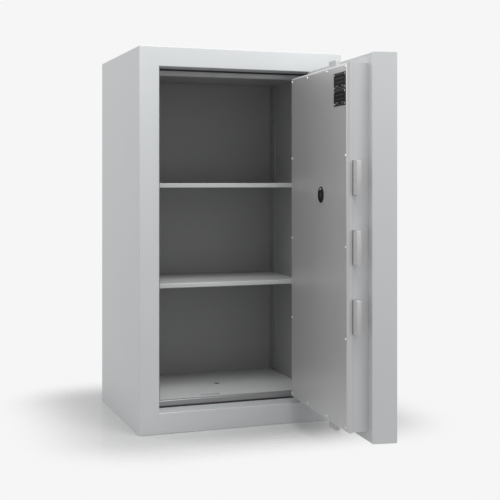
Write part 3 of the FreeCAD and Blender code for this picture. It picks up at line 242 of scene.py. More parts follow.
def brush_group():
    """Fine parallel scratches along the piece's first axis."""
    tree, into, out = group_tree(
        "ShaderNodeTree", "Brushed lines",
        [("Vector", "Vector", None), ("Pitch", "Float", 0.0004), ("Stretch", "Float", 40.0)],
        [("Lines", "Float"), ("Height", "Float")],
    )
    scale = maths(tree, "DIVIDE", 1.0, into.outputs["Pitch"])
    along = maths(tree, "DIVIDE", scale, into.outputs["Stretch"])
    each = add(tree, "ShaderNodeCombineXYZ", {"X": along, "Y": scale, "Z": scale})
    vector = add(
        tree, "ShaderNodeVectorMath", {0: into.outputs["Vector"], 1: each.outputs[0]}, operation="MULTIPLY",
    )
    lines = add(tree, "ShaderNodeTexNoise", {"Vector": vector.outputs[0], "Scale": 1.0, "Detail": 3.0})
    tree.links.new(lines.outputs["Fac"], out.inputs["Lines"])
    tree.links.new(lines.outputs["Fac"], out.inputs["Height"])
    return tree


def spangle_group():
    """The crystal flowers of hot-dipped zinc: each patch has its own shade and gloss."""
    tree, into, out = group_tree(
        "ShaderNodeTree", "Zinc spangle",
        [("Vector", "Vector", None), ("Patch", "Float", 0.009), ("Warp", "Float", 0.35)],
        [("Patches", "Float"), ("Fine", "Float")],
    )
    scale = maths(tree, "DIVIDE", 1.0, into.outputs["Patch"])
    bend = add(tree, "ShaderNodeTexNoise", {"Vector": into.outputs["Vector"], "Scale": scale, "Detail": 2.0})
    shift = add(
        tree, "ShaderNodeVectorMath", {0: bend.outputs["Color"], "Scale": into.outputs["Warp"]},
        operation="SCALE",
    )
    size = add(tree, "ShaderNodeVectorMath", {0: into.outputs["Vector"], "Scale": scale}, operation="SCALE")
    place = add(tree, "ShaderNodeVectorMath", {0: size.outputs[0], 1: shift.outputs[0]}, operation="ADD")
    cells = add(tree, "ShaderNodeTexVoronoi", {"Vector": place.outputs[0], "Scale": 1.0}, feature="F1")
    split = add(tree, "ShaderNodeSeparateColor", {"Color": cells.outputs["Color"]})
    tree.links.new(split.outputs[0], out.inputs["Patches"])
    fine = add(tree, "ShaderNodeTexNoise", {"Vector": place.outputs[0], "Scale": 7.0, "Detail": 3.0})
    tree.links.new(fine.outputs["Fac"], out.inputs["Fine"])
    return tree


GROUPS = {}


def shared_group(tree, make, **inputs):
    """Places a shared group in a material with its own values."""
    if make.__name__ not in GROUPS:
        GROUPS[make.__name__] = make()
    node = add(tree, "ShaderNodeGroup", node_tree=GROUPS[make.__name__])
    for title, value in inputs.items():
        feed(tree, node.inputs[title], value)
    return node


def rgba(value, gain=1.0):
    return tuple(min(1.0, c * gain) for c in value[:3]) + (1.0,)


def start_material(name, turn=0.0, **fixed):
    """A material, its tree, its shader, and Object coordinates turned to the piece's own lie."""
    material = bpy.data.materials.new(name)
    material.use_nodes = True
    tree = material.node_tree
    shader = tree.nodes["Principled BSDF"]
    for title, value in fixed.items():
        shader.inputs[title.replace("_", " ")].default_value = value
    coords = add(tree, "ShaderNodeTexCoord").outputs["Object"]
    turned = add(tree, "ShaderNodeMapping", {"Vector": coords, "Rotation": (0, 0, turn)}).outputs[0]
    return material, tree, shader, turned


def link_bump(tree, shader, height, strength, distance):
    bump = add(tree, "ShaderNodeBump", {"Height": height, "Strength": strength, "Distance": distance})
    tree.links.new(bump.outputs[0], shader.inputs["Normal"])


def painted(name, base, roughness=0.42, pitch=0.0018, depth=0.00012, speckle=0.3, coat=0.25):
    """Baked enamel: a cloudy tint, a fine peel and a thin clear gloss."""
    material, tree, shader, vector = start_material(name, Coat_Weight=coat, Coat_Roughness=0.14)
    tint = shared_group(
        tree, tint_group, Vector=vector, Color=rgba(base), Shade=rgba(base, 0.93), Scale=3.0, Amount=0.8,
        Roughness=roughness, Swing=0.10,
    )
    peel = shared_group(tree, peel_group, Vector=vector, Pitch=pitch, Speckle=speckle)
    share = maths(tree, "MULTIPLY", peel.outputs["Speckle"], 0.12)
    fine = mix_colours(tree, share, tint.outputs["Color"], rgba(base, 0.8))
    tree.links.new(fine, shader.inputs["Base Color"])
    tree.links.new(tint.outputs["Roughness"], shader.inputs["Roughness"])
    link_bump(tree, shader, peel.outputs["Height"], 0.5, depth)
    return material


def brushed(name, base, roughness=0.32, turn=0.0, pitch=0.0004, metallic=1.0, stretch=40.0):
    """Ground or rolled metal: parallel lines in its shade, gloss and height."""
    material, tree, shader, vector = start_material(name, turn=turn, Metallic=metallic)
    lines = shared_group(tree, brush_group, Vector=vector, Pitch=pitch, Stretch=stretch)
    tint = shared_group(
        tree, tint_group, Vector=vector, Color=rgba(base), Shade=rgba(base, 0.78), Scale=14.0, Amount=0.7,
        Roughness=roughness, Swing=0.16,
    )
    share = maths(tree, "MULTIPLY", lines.outputs["Lines"], 0.35)
    streak = mix_colours(tree, share, tint.outputs["Color"], rgba(base, 0.7))
    tree.links.new(streak, shader.inputs["Base Color"])
    dull = maths(tree, "MULTIPLY", lines.outputs["Lines"], 0.12)
    gloss = maths(tree, "ADD", tint.outputs["Roughness"], dull)
    tree.links.new(gloss, shader.inputs["Roughness"])
    link_bump(tree, shader, lines.outputs["Height"], 0.25, 0.00004)
    return material


def zinc_sheet(name, base, patch, roughness, metallic=0.75):
    """Hot-dipped sheet: spangle in its shade and gloss, with a satin haze over it."""
    material, tree, shader, vector = start_material(name, Metallic=metallic)
    spangle = shared_group(tree, spangle_group, Vector=vector, Patch=patch, Warp=0.45)
    tint = shared_group(
        tree, tint_group, Vector=vector, Color=rgba(base), Shade=rgba(base, 0.88), Scale=5.0, Amount=0.6,
        Roughness=roughness, Swing=0.08,
    )
    dark_share = maths(tree, "MULTIPLY", spangle.outputs["Patches"], 0.55)
    patches = mix_colours(tree, dark_share, tint.outputs["Color"], rgba(base, 0.80))
    light_share = maths(tree, "MULTIPLY", spangle.outputs["Fine"], 0.25)
    fine = mix_colours(tree, light_share, patches, rgba(base, 1.15))
    tree.links.new(fine, shader.inputs["Base Color"])
    dull = maths(tree, "MULTIPLY", spangle.outputs["Patches"], 0.10)
    gloss = maths(tree, "ADD", tint.outputs["Roughness"], dull)
    tree.links.new(gloss, shader.inputs["Roughness"])
    link_bump(tree, shader, spangle.outputs["Fine"], 0.25, 0.00006)
    return material


def satin_sheet(name, base, roughness=0.34, pitch=0.0024, metallic=0.5):
    """Thinly lacquered steel sheet: a fine grain in its shade and height, and a soft sheen."""
    material, tree, shader, vector = start_material(name, Metallic=metallic)
    tint = shared_group(
        tree, tint_group, Vector=vector, Color=rgba(base), Shade=rgba(base, 0.9), Scale=6.0, Amount=0.8,
        Roughness=roughness, Swing=0.08,
    )
    grain = shared_group(tree, peel_group, Vector=vector, Pitch=pitch, Speckle=0.9)
    share = maths(tree, "MULTIPLY", grain.outputs["Speckle"], 0.35)
    fine = mix_colours(tree, share, tint.outputs["Color"], rgba(base, 0.72))
    tree.links.new(fine, shader.inputs["Base Color"])
    tree.links.new(tint.outputs["Roughness"], shader.inputs["Roughness"])
    link_bump(tree, shader, grain.outputs["Height"], 0.5, 0.00012)
    return material


def mottled(name, base, scale, roughness=0.7, depth=0.0003, metallic=0.0):
    """Plain matt stuff with a mottled shade and a rough surface: concrete, rubber, cast plate."""
    material, tree, shader, vector = start_material(name, Metallic=metallic)
    tint = shared_group(
        tree, tint_group, Vector=vector, Color=rgba(base), Shade=rgba(base, 0.7), Scale=scale, Amount=1.0,
        Roughness=roughness, Swing=0.15,
    )
    grain = shared_group(tree, peel_group, Vector=vector, Pitch=0.6 / scale, Speckle=0.6)
    tree.links.new(tint.outputs["Color"], shader.inputs["Base Color"])
    tree.links.new(tint.outputs["Roughness"], shader.inputs["Roughness"])
    link_bump(tree, shader, grain.outputs["Height"], 0.5, depth)
    return material


# --- Mesh building -----------------------------------------------------------------------------

def give(names, material):
    """Puts one finish on carried-over nodes."""
    for name in names:
        slots = NODES[name].data.materials
        slots.clear()
        slots.append(material)


def smooth_tree():
    """Smooth shading with edges kept crisp past a chosen angle."""
    tree, into, out = group_tree(
        "GeometryNodeTree", "Crisp smooth",
        [("Geometry", "Geometry", None), ("Angle", "Float", 0.6)], [("Geometry", "Geometry")],
    )
    angle = add(tree, "GeometryNodeInputMeshEdgeAngle").outputs[0]
    flat = add(tree, "FunctionNodeCompare", {0: angle, 1: into.outputs["Angle"]}, operation="LESS_EQUAL")
    soft = add(
        tree, "GeometryNodeSetShadeSmooth", {"Geometry": into.outputs["Geometry"], "Shade Smooth": True},
    )
    edges = add(
        tree, "GeometryNodeSetShadeSmooth", {"Geometry": soft.outputs[0], "Shade Smooth": flat.outputs[0]},
        domain="EDGE",
    )
    tree.links.new(edges.outputs[0], out.inputs[0])
    return tree


def soften(names, width, segments=2, limit=40):
    """Rounds the hard edges of carried-over nodes and smooths their curved faces."""
    if "smooth" not in GROUPS:
        GROUPS["smooth"] = smooth_tree()
    for name in names:
        node = NODES[name]
        weld = node.modifiers.new("Weld", "WELD")
        weld.merge_threshold = 0.00001
        if width > 0:
            bevel = node.modifiers.new("Edges", "BEVEL")
            bevel.width = width
            bevel.segments = segments
            bevel.limit_method = "ANGLE"
            bevel.angle_limit = math.radians(limit)
            bevel.use_clamp_overlap = True
        shade = node.modifiers.new("Shade", "NODES")
        shade.node_group = GROUPS["smooth"]


def islands(name):
    """Each separate solid of a node as (lowest corner, highest corner) in the shut door's axes."""
    mesh = bmesh.new()
    mesh.from_mesh(NODES[name].data)
    mesh.transform(LEAF.inverted())
    bmesh.ops.remove_doubles(mesh, verts=mesh.verts, dist=1e-5)
    boxes, seen = [], set()
    for first in mesh.verts:
        if first.index in seen:
            continue
        seen.add(first.index)
        todo, spots = [first], []
        while todo:
            vertex = todo.pop()
            spots.append(vertex.co)
            for edge in vertex.link_edges:
                other = edge.other_vert(vertex)
                if other.index not in seen:
                    seen.add(other.index)
                    todo.append(other)
        boxes.append((
            Vector([min(s[i] for s in spots) for i in range(3)]),
            Vector([max(s[i] for s in spots) for i in range(3)]),
        ))
    mesh.free()
    return sorted(boxes, key=lambda b: (round(b[0].z, 4), round(b[0].x, 4)))


def plain_mesh(name, shape):
    """Turns a bmesh into a mesh whose faces point outwards."""
    mesh = bpy.data.meshes.new(name)
    bmesh.ops.recalc_face_normals(shape, faces=shape.faces)
    shape.to_mesh(mesh)
    shape.free()
    return mesh


def new_piece(name, mesh, materials=(), matrix=None, angle=35):
    """Links a piece whose place is in its mesh; mesh is a Mesh or a bmesh."""
    if isinstance(mesh, bmesh.types.BMesh):
        mesh = plain_mesh(name, mesh)
    mesh.name = name
    if matrix is not None:
        mesh.transform(matrix)
    if not mesh.materials:
        for material in materials:
            mesh.materials.append(material)
    mesh.shade_smooth()
    mesh.set_sharp_from_angle(angle=math.radians(angle))
    piece = bpy.data.objects.new(name, mesh)
    bpy.context.scene.collection.objects.link(piece)
    return piece


def lathe(profile, segments=48):
    """A closed solid from (radius, height) pairs, turned about +Z; it starts and ends on the axis."""
    mesh = bmesh.new()
    rings = []
    for radius, height in profile:
        if radius < 1e-7:
            rings.append([mesh.verts.new((0, 0, height))])
            continue
        rings.append([
            mesh.verts.new((radius * math.cos(a), radius * math.sin(a), height))
            for a in (2 * math.pi * i / segments for i in range(segments))
        ])
    for low, high in zip(rings, rings[1:]):
        for i in range(segments):
            j = (i + 1) % segments
            corners = [low[i % len(low)], low[j % len(low)], high[j % len(high)], high[i % len(high)]]
            mesh.faces.new(list(dict.fromkeys(corners)))
    return mesh


def baked_nodes(name, base, tree, inputs):
    """Runs a geometry tree on a base mesh and returns the result as a plain mesh."""
    holder = bpy.data.objects.new(name, base)
    bpy.context.scene.collection.objects.link(holder)
    modifier = holder.modifiers.new(name, "NODES")
    modifier.node_group = tree
    for item in tree.interface.items_tree:
        if item.item_type == "SOCKET" and item.in_out == "INPUT" and item.name in inputs:
            modifier[item.identifier] = inputs[item.name]
    shaped = holder.evaluated_get(bpy.context.evaluated_depsgraph_get())
    mesh = bpy.data.meshes.new_from_object(shaped)
    bpy.data.objects.remove(holder)
    return mesh


def points_mesh(name, spots):
    mesh = bpy.data.meshes.new(name)
    mesh.from_pydata([tuple(s) for s in spots], [], [])
    return mesh


def finish_tree(tree, geometry, into, out):
    """Ends a geometry tree: plain mesh, then its material."""
    real = add(tree, "GeometryNodeRealizeInstances", {0: geometry})
    dressed = add(tree, "GeometryNodeSetMaterial", {
        "Geometry": real.outputs[0], "Material": into.outputs["Material"],
    })
    tree.links.new(dressed.outputs[0], out.inputs[0])


# --- Small fittings ----------------------------------------------------------------------------

def screw_mesh():
    """One pan-head screw with a cross recess, its seat at the origin and its head along +Z."""
    radius, height = sizes().screw_head, sizes().screw_height
    arc = [
        (radius * math.cos(a), height * (0.35 + 0.65 * math.sin(a)))
        for a in (math.radians(d) for d in (0, 15, 30, 45, 60, 75, 90))
    ]
    head = lathe([(0, 0), (radius * 0.97, 0), (radius, height * 0.12)] + arc[:-1] + [(0, arc[-1][1])], 32)
    long, wide = sizes().recess_length / 2, sizes().recess_width / 2
    cross = bmesh.new()
    outline = [
        (long, wide), (wide, wide), (wide, long), (-wide, long), (-wide, wide), (-long, wide),
        (-long, -wide), (-wide, -wide), (-wide, -long), (wide, -long), (wide, -wide), (long, -wide),
    ]
    low = [cross.verts.new((x * 0.55, y * 0.55, height * 0.35)) for x, y in outline]
    high = [cross.verts.new((x * 1.1, y * 1.1, height * 1.2)) for x, y in outline]
    cross.faces.new(low[::-1])
    cross.faces.new(high)
    for i in range(len(outline)):
        j = (i + 1) % len(outline)
        cross.faces.new([low[i], low[j], high[j], high[i]])
    blank = bpy.data.objects.new("screw_blank", plain_mesh("screw_head", head))
    tool = bpy.data.objects.new("screw_recess", plain_mesh("screw_recess", cross))
    for item in (blank, tool):
        bpy.context.scene.collection.objects.link(item)
    cut = blank.modifiers.new("Recess", "BOOLEAN")
    cut.operation = "DIFFERENCE"
    cut.solver = "EXACT"
    cut.object = tool
    shaped = blank.evaluated_get(bpy.context.evaluated_depsgraph_get())
    mesh = bpy.data.meshes.new_from_object(shaped)
    bpy.data.objects.remove(blank)
    bpy.data.objects.remove(tool)
    return mesh


def scatter_tree():
    """Stands one part on each point, each turned by its own chance angle about its axis."""
    tree, into, out = group_tree(
        "GeometryNodeTree", "Stand on points",
        [("Geometry", "Geometry", None), ("Part", "Object", None), ("Lean", "Rotation", None),
         ("Turn", "Float", 3.14), ("Seed", "Int", 7), ("Material", "Material", None)],
        [("Geometry", "Geometry")],
    )
    part = add(tree, "GeometryNodeObjectInfo", {"Object": into.outputs["Part"]})
    chance = add(tree, "FunctionNodeRandomValue", {
        2: 0.0, 3: into.outputs["Turn"], "Seed": into.outputs["Seed"],
    })
    spin = add(tree, "ShaderNodeCombineXYZ", {"Z": chance.outputs[1]})
    turn = add(tree, "FunctionNodeEulerToRotation", {0: spin.outputs[0]})
    pose = add(
        tree, "FunctionNodeRotateRotation", {"Rotation": into.outputs["Lean"], "Rotate By": turn.outputs[0]},
        rotation_space="LOCAL",
    )
    placed = add(tree, "GeometryNodeInstanceOnPoints", {
        "Points": into.outputs["Geometry"], "Instance": part.outputs["Geometry"], "Rotation": pose.outputs[0],
    })
    finish_tree(tree, placed.outputs[0], into, out)
    return tree


def stand_on(name, spots, part_mesh, turn, seed, material):
    """Copies of one part at spots in the shut door's axes, facing out of the door's rear (+Y)."""
    part = bpy.data.objects.new(name + "_part", part_mesh)
    bpy.context.scene.collection.objects.link(part)
    if "scatter" not in GROUPS:
        GROUPS["scatter"] = scatter_tree()
    mesh = baked_nodes(name, points_mesh(name + "_spots", spots), GROUPS["scatter"], {
        "Part": part, "Lean": (math.radians(-90), 0.0, 0.0), "Turn": turn, "Seed": seed, "Material": material,
    })
    bpy.data.objects.remove(part)
    return mesh


def bead_tree():
    """A weld bead along each edge of the base mesh, with overlapping ripples."""
    tree, into, out = group_tree(
        "GeometryNodeTree", "Weld bead",
        [("Geometry", "Geometry", None), ("Radius", "Float", 0.002), ("Ripple", "Float", 0.0005),
         ("Pitch", "Float", 0.003), ("Seed", "Int", 3), ("Material", "Material", None)],
        [("Geometry", "Geometry")],
    )
    line = add(tree, "GeometryNodeMeshToCurve", {0: into.outputs["Geometry"]})
    pitch, ripple = into.outputs["Pitch"], into.outputs["Ripple"]
    step = maths(tree, "MULTIPLY", pitch, 0.25)
    fine = add(tree, "GeometryNodeResampleCurve", {"Curve": line.outputs[0], "Length": step}, mode="LENGTH")
    place = add(tree, "GeometryNodeSplineParameter").outputs["Length"]
    lift = maths(tree, "MULTIPLY", maths(tree, "FRACT", maths(tree, "DIVIDE", place, pitch)), ripple)
    seed = maths(tree, "MULTIPLY", into.outputs["Seed"], 1.7)
    wander = add(
        tree, "ShaderNodeTexNoise", {"Scale": 300.0, "Detail": 2.0, "W": seed}, noise_dimensions="4D",
    )
    drift = maths(tree, "MULTIPLY", wander.outputs["Fac"], ripple)
    radius = maths(tree, "ADD", maths(tree, "ADD", lift, drift), into.outputs["Radius"])
    sized = add(tree, "GeometryNodeSetCurveRadius", {"Curve": fine.outputs[0], "Radius": 1.0})
    ring = add(tree, "GeometryNodeCurvePrimitiveCircle", {"Resolution": 10, "Radius": 1.0})
    tube = add(tree, "GeometryNodeCurveToMesh", {
        "Curve": sized.outputs[0], "Profile Curve": ring.outputs[0], "Fill Caps": True, "Scale": radius,
    })
    finish_tree(tree, tube.outputs[0], into, out)
    return tree


def rounded_outline(width, height, radius, steps=6):
    """Corner points of a rounded rectangle about the origin, anticlockwise."""
    spots = []
    for sx, sy, start in ((1, 1, 0), (-1, 1, 90), (-1, -1, 180), (1, -1, 270)):
        for i in range(steps + 1):
            a = math.radians(start + 90 * i / steps)
            spots.append((
                sx * (width / 2 - radius) + radius * math.cos(a),
                sy * (height / 2 - radius) + radius * math.sin(a),
            ))
    return spots


def stack(mesh, loops, material_index=0):
    """Closed solid from matching loops of points, capped at both ends."""
    rings = [[mesh.verts.new(p) for p in loop] for loop in loops]
    faces = [mesh.faces.new(rings[0][::-1]), mesh.faces.new(rings[-1])]
    count = len(rings[0])
    for low, high in zip(rings, rings[1:]):
        for i in range(count):
            j = (i + 1) % count
            faces.append(mesh.faces.new([low[i], low[j], high[j], high[i]]))
    for face in faces:
        face.material_index = material_index


def ribbon(mesh, outer, inner, low, high, material_index=0):
    """A flat closed band between two outlines, from one height to another."""
    rings = [
        [mesh.verts.new((x, y, z)) for x, y in outline]
        for outline, z in ((outer, low), (outer, high), (inner, high), (inner, low))
    ]
    count = len(outer)
    for a, b in zip(rings, rings[1:] + rings[:1]):
        for i in range(count):
            j = (i + 1) % count
            mesh.faces.new([a[i], a[j], b[j], b[i]]).material_index = material_index


# Turns a shape that lies flat with its face along +Z so that its face looks out of the door's rear.
REARWARD = Matrix.Rotation(math.radians(-90), 4, "X")


# --- Operators ---------------------------------------------------------------------------------

class SAFE_OT_body(bpy.types.Operator):
    """Paints the body, its doorway, its inside and its hidden filling"""
    bl_idname = "safe.body"
    bl_label = "Body"

    def execute(self, context):
        look = colours()
        enamel = painted("light_grey_enamel", look.enamel)
        give([
            "side_panel_left", "side_panel_right", "top_panel", "base_panel", "rear_panel", "front_frame",
            "hinge_leaf_frame_upper", "hinge_leaf_frame_lower",
        ], enamel)
        # Painted shade: the inside walls get a darker copy of the body's paint, standing in for the shade
        # inside the safe.
        inner = painted("inner_enamel_painted_shade", look.inner_enamel_painted_shade, roughness=0.5, coat=0.05)
        give(["inner_liner"], inner)
        stop = brushed("stop_steel", look.stop, roughness=0.26, pitch=0.0012, metallic=0.6)
        give(["door_stop_frame"], stop)
        give(["barrier_infill", "door_infill"], mottled("cast_concrete", look.concrete, scale=45.0))
        give(["fire_seal"], mottled("seal_strip", look.seal, scale=220.0, roughness=0.8, depth=0.0001))
        soften(["front_frame", "side_panel_left", "side_panel_right"], 0)
        soften(["top_panel", "rear_panel", "base_panel", "fire_seal"], sizes().plate_edge)
        soften(["inner_liner", "floor_plate", "barrier_infill", "door_infill"], 0)
        soften(["door_stop_frame"], 0)
        soften(["hinge_leaf_frame_upper", "hinge_leaf_frame_lower"], 0.0008)
        return {"FINISHED"}


class SAFE_OT_shelving(bpy.types.Operator):
    """Paints the shelves and plates the slotted rails and clips"""
    bl_idname = "safe.shelving"
    bl_label = "Shelving"

    def execute(self, context):
        look = colours()
        paint = painted("shelf_enamel", look.shelf_enamel, roughness=0.4)
        give(["shelf_upper", "shelf_lower", "floor_plate"], paint)
        zinc = zinc_sheet("zinc_plate", look.zinc, patch=0.004, roughness=0.5)
        give(["shelf_rails_left", "shelf_rails_right", "shelf_clips"], zinc)
        soften(["shelf_upper", "shelf_lower"], 0)
        soften(["shelf_rails_left", "shelf_rails_right", "shelf_clips"], 0.0002, 1)
        return {"FINISHED"}


class SAFE_OT_door(bpy.types.Operator):
    """Paints the door, and finishes its lock case and hinges"""
    bl_idname = "safe.door"
    bl_label = "Door"

    def execute(self, context):
        look = colours()
        enamel = painted("door_enamel", look.enamel)
        give(["door_casing", "hinge_leaf_door_upper", "hinge_leaf_door_lower"], enamel)
        case = painted(
            "case_enamel", look.case_enamel, roughness=0.38, pitch=0.0030, depth=0.00010, speckle=0.6,
        )
        give(["lock_case", "door_inner_plate"], case)
        give(["back_cover"], satin_sheet("satin_sheet", look.cover))
        give(["hard_plate"], mottled("hardened_plate", look.rolled, scale=120.0, roughness=0.5, metallic=1.0))
        steel = brushed("rolled_steel", look.rolled, roughness=0.5, turn=-OPEN_ANGLE, pitch=0.001)
        give([
            "anchor_sleeve", "hinge_side_dogs", "side_bolt_guides", "end_bolt_guides",
            "rod_guides", "lock_body",
        ], steel)
        soften(["door_casing"], 0)
        soften(["lock_case", "back_cover"], 0)
        soften(["hinge_leaf_door_upper", "hinge_leaf_door_lower"], 0.0008)
        soften([
            "door_inner_plate", "hard_plate", "anchor_sleeve", "hinge_side_dogs", "side_bolt_guides",
            "end_bolt_guides", "rod_guides", "lock_body",
        ], sizes().plate_edge, 1)
        return {"FINISHED"}


class SAFE_OT_bolt_work(bpy.types.Operator):
    """Finishes the bolts, rods, cam, spindle and pins"""
    bl_idname = "safe.bolt_work"
    bl_label = "Bolt work"

    def execute(self, context):
        look = colours()
        bolts = ["side_bolt_upper", "side_bolt_middle", "side_bolt_lower", "top_bolt", "bottom_bolt"]
        ground = brushed("ground_steel", look.steel, roughness=0.45, turn=-OPEN_ANGLE, metallic=0.5)
        give(bolts + ["hinge_pins", "handle_spindle", "spindle_sleeve"], ground)
        dark = brushed("bolt_work_steel", look.rolled, roughness=0.45, turn=-OPEN_ANGLE, pitch=0.0008)
        work = ["bolt_carrier", "top_rod", "bottom_rod", "locking_lug", "cam_disc"]
        give(work, dark)
        yellow = ["hinge_washers", "key_sleeve", "lock_bolt"]
        give(yellow, brushed("turned_brass", look.brass, roughness=0.3, turn=-OPEN_ANGLE))
        soften(bolts, sizes().bolt_edge, 3)
        soften(work + yellow + ["hinge_pins", "handle_spindle", "spindle_sleeve"], 0.0003, 1)
        return {"FINISHED"}


class SAFE_OT_cover_screws(bpy.types.Operator):
    """Fits the back cover's cross-recess screws"""
    bl_idname = "safe.cover_screws"
    bl_label = "Cover screws"

    def execute(self, context):
        spots = []
        for low, high in islands("cover_screws"):
            middle = (low + high) / 2
            spots.append((middle.x, high.y - sizes().screw_height, middle.z))
        metal = brushed(
            "screw_zinc", colours().screw, roughness=0.28, turn=-OPEN_ANGLE, pitch=0.0003, metallic=0.6,
        )
        mesh = stand_on("cover_screw_heads", spots, screw_mesh(), 3.14, 11, metal)
        piece = new_piece("cover_screw_heads", mesh, [metal], LEAF, 30)
        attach(piece, "door")
        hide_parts("cover_screws")
        return {"FINISHED"}


# How far a mark's root is sunk in the plate that carries it.
MARK_SUNK = 0.0002


class SAFE_OT_plates(bpy.types.Operator):
    """Makes the blank black plates with their ruled fields, their rivets and the change-key disc"""
    bl_idname = "safe.plates"
    bl_label = "Blank plates"

    def execute(self, context):
        look, measure = colours(), sizes()
        black, tree, shader, vector = start_material(
            "black_satin", turn=-OPEN_ANGLE, Specular_IOR_Level=0.12,
        )
        tint = shared_group(
            tree, tint_group, Vector=vector, Color=rgba(look.black), Shade=rgba(look.black, 1.8), Scale=40.0,
            Amount=0.6, Roughness=0.5, Swing=0.12,
        )
        tree.links.new(tint.outputs["Color"], shader.inputs["Base Color"])
        tree.links.new(tint.outputs["Roughness"], shader.inputs["Roughness"])
        line = brushed("marking_silver", look.marking, roughness=0.4, turn=-OPEN_ANGLE)
        for name in ("plate_upper", "plate_lower"):
            (low, high), = islands(name)
            middle, span = (low + high) / 2, high - low
            mesh = bmesh.new()
            corner, edge = measure.plate_corner, 0.0003
            loops = []
            for inset, z in ((0, 0), (0, span.y - edge), (edge, span.y)):
                outline = rounded_outline(span.x - 2 * inset, span.z - 2 * inset, corner - inset)
                loops.append([(x, y, z) for x, y in outline])
            stack(mesh, loops)
            far, wide = measure.border_inset, measure.border_width
            outer = rounded_outline(span.x - 2 * far, span.z - 2 * far, corner)
            near = rounded_outline(span.x - 2 * (far + wide), span.z - 2 * (far + wide), corner - wide)
            ribbon(mesh, outer, near, span.y - MARK_SUNK, span.y + 0.00015, 1)
            self.rules(mesh, span)
            where = Matrix.Translation((middle.x, low.y, middle.z)) @ REARWARD
            piece = new_piece(name + "_blank", mesh, [black, line], LEAF @ where)
            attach(piece, "door")
            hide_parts(name)

        spots = [((a.x + b.x) / 2, a.y, (a.z + b.z) / 2) for a, b in islands("plate_rivets")]
        radius, height = measure.rivet_radius, measure.rivet_height
        sunk = 0.0004
        arc = [math.radians(degrees) for degrees in (0, 18, 36, 54, 72)]
        rise = [(radius * math.cos(a), height * math.sin(a)) for a in arc]
        dome = lathe([(0, -sunk), (radius * 0.96, -sunk)] + rise + [(0, height)], 24)
        metal = brushed("rivet_steel", look.screw, roughness=0.3, turn=-OPEN_ANGLE, metallic=0.6)
        domes = stand_on("plate_rivet_domes", spots, plain_mesh("rivet_dome", dome), 0.0, 1, metal)
        rivets = new_piece("plate_rivet_domes", domes, [metal], LEAF, 60)
        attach(rivets, "door")
        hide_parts("plate_rivets")
        self.cover(black, line, metal)
        return {"FINISHED"}

    def rules(self, mesh, span):
        """Empty ruled fields on a plate: a short bar at each top corner and thin lines below them."""
        fields = [(-0.25, 0.30, 0.16, 0.06), (0.22, 0.30, 0.22, 0.06)]
        fields += [(0.0, 0.08 - 0.24 * i, 0.72, 0.012) for i in range(2)]
        for x, y, wide, high in fields:
            half_wide, half_high = span.x * wide / 2, span.z * high / 2
            corners = [(1, 1), (-1, 1), (-1, -1), (1, -1)]
            outline = [(span.x * x + half_wide * i, span.z * y + half_high * j) for i, j in corners]
            stack(mesh, [[(u, v, z) for u, v in outline] for z in (span.y - MARK_SUNK, span.y + 0.00012)], 1)

    def cover(self, black, line, metal):
        """The round change-key cover: a black disc with a raised rim, index marks and a slotted boss."""
        (low, high), = islands("change_key_cover")
        (post_low, post_high), = islands("change_key_pivot")
        middle, span = (low + high) / 2, high - low
        radius, thick = span.x / 2, span.y
        edge, rim, slope, clear = 0.0003, 0.0022, 0.0006, 0.0055
        dish = thick - slope
        profile = [
            (0, 0), (radius - edge, 0), (radius, edge), (radius, thick - 0.0005), (radius - 0.0005, thick),
            (radius - rim, thick), (radius - rim - slope, dish), (0, dish),
        ]
        mesh = lathe(profile, 96)
        post = Vector((0, (post_low.z + post_high.z) / 2 - middle.z))
        count, wide, start = sizes().index_marks, 0.0004, radius - 0.0042
        for i in range(count):
            a = 2 * math.pi * i / count
            end = start - (0.0032 if i % 3 == 0 else 0.0020)
            along, across = Vector((math.cos(a), math.sin(a))), Vector((-math.sin(a), math.cos(a)))
            if (along * (start + end) / 2 - post).length < clear:
                continue
            sides = ((start, wide), (end, wide), (end, -wide), (start, -wide))
            corners = [along * u + across * v for u, v in sides]
            stack(mesh, [[(c.x, c.y, z) for c in corners] for z in (dish - MARK_SUNK, dish + 0.00015)], 1)
        turns = [2 * math.pi * i / 48 for i in range(48)]
        outer, inner = ([(r * math.cos(t), r * math.sin(t)) for t in turns] for r in (0.0078, 0.0069))
        ribbon(mesh, outer, inner, dish - MARK_SUNK, dish + 0.0003, 1)
        long, wide = 0.0045, 0.0007
        slot = [(wide, long), (wide, -long), (-wide, -long), (-wide, long)]
        stack(mesh, [[(x, y, z) for x, y in slot] for z in (dish - MARK_SUNK, dish + 0.00025)], 1)
        where = Matrix.Translation((middle.x, low.y, middle.z)) @ REARWARD
        piece = new_piece("change_key_cover_disc", mesh, [black, line], LEAF @ where, 50)
        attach(piece, "change_key_cover")
        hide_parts("change_key_cover")
        give(["change_key_pivot"], metal)
        soften(["change_key_pivot"], 0.0003, 2)


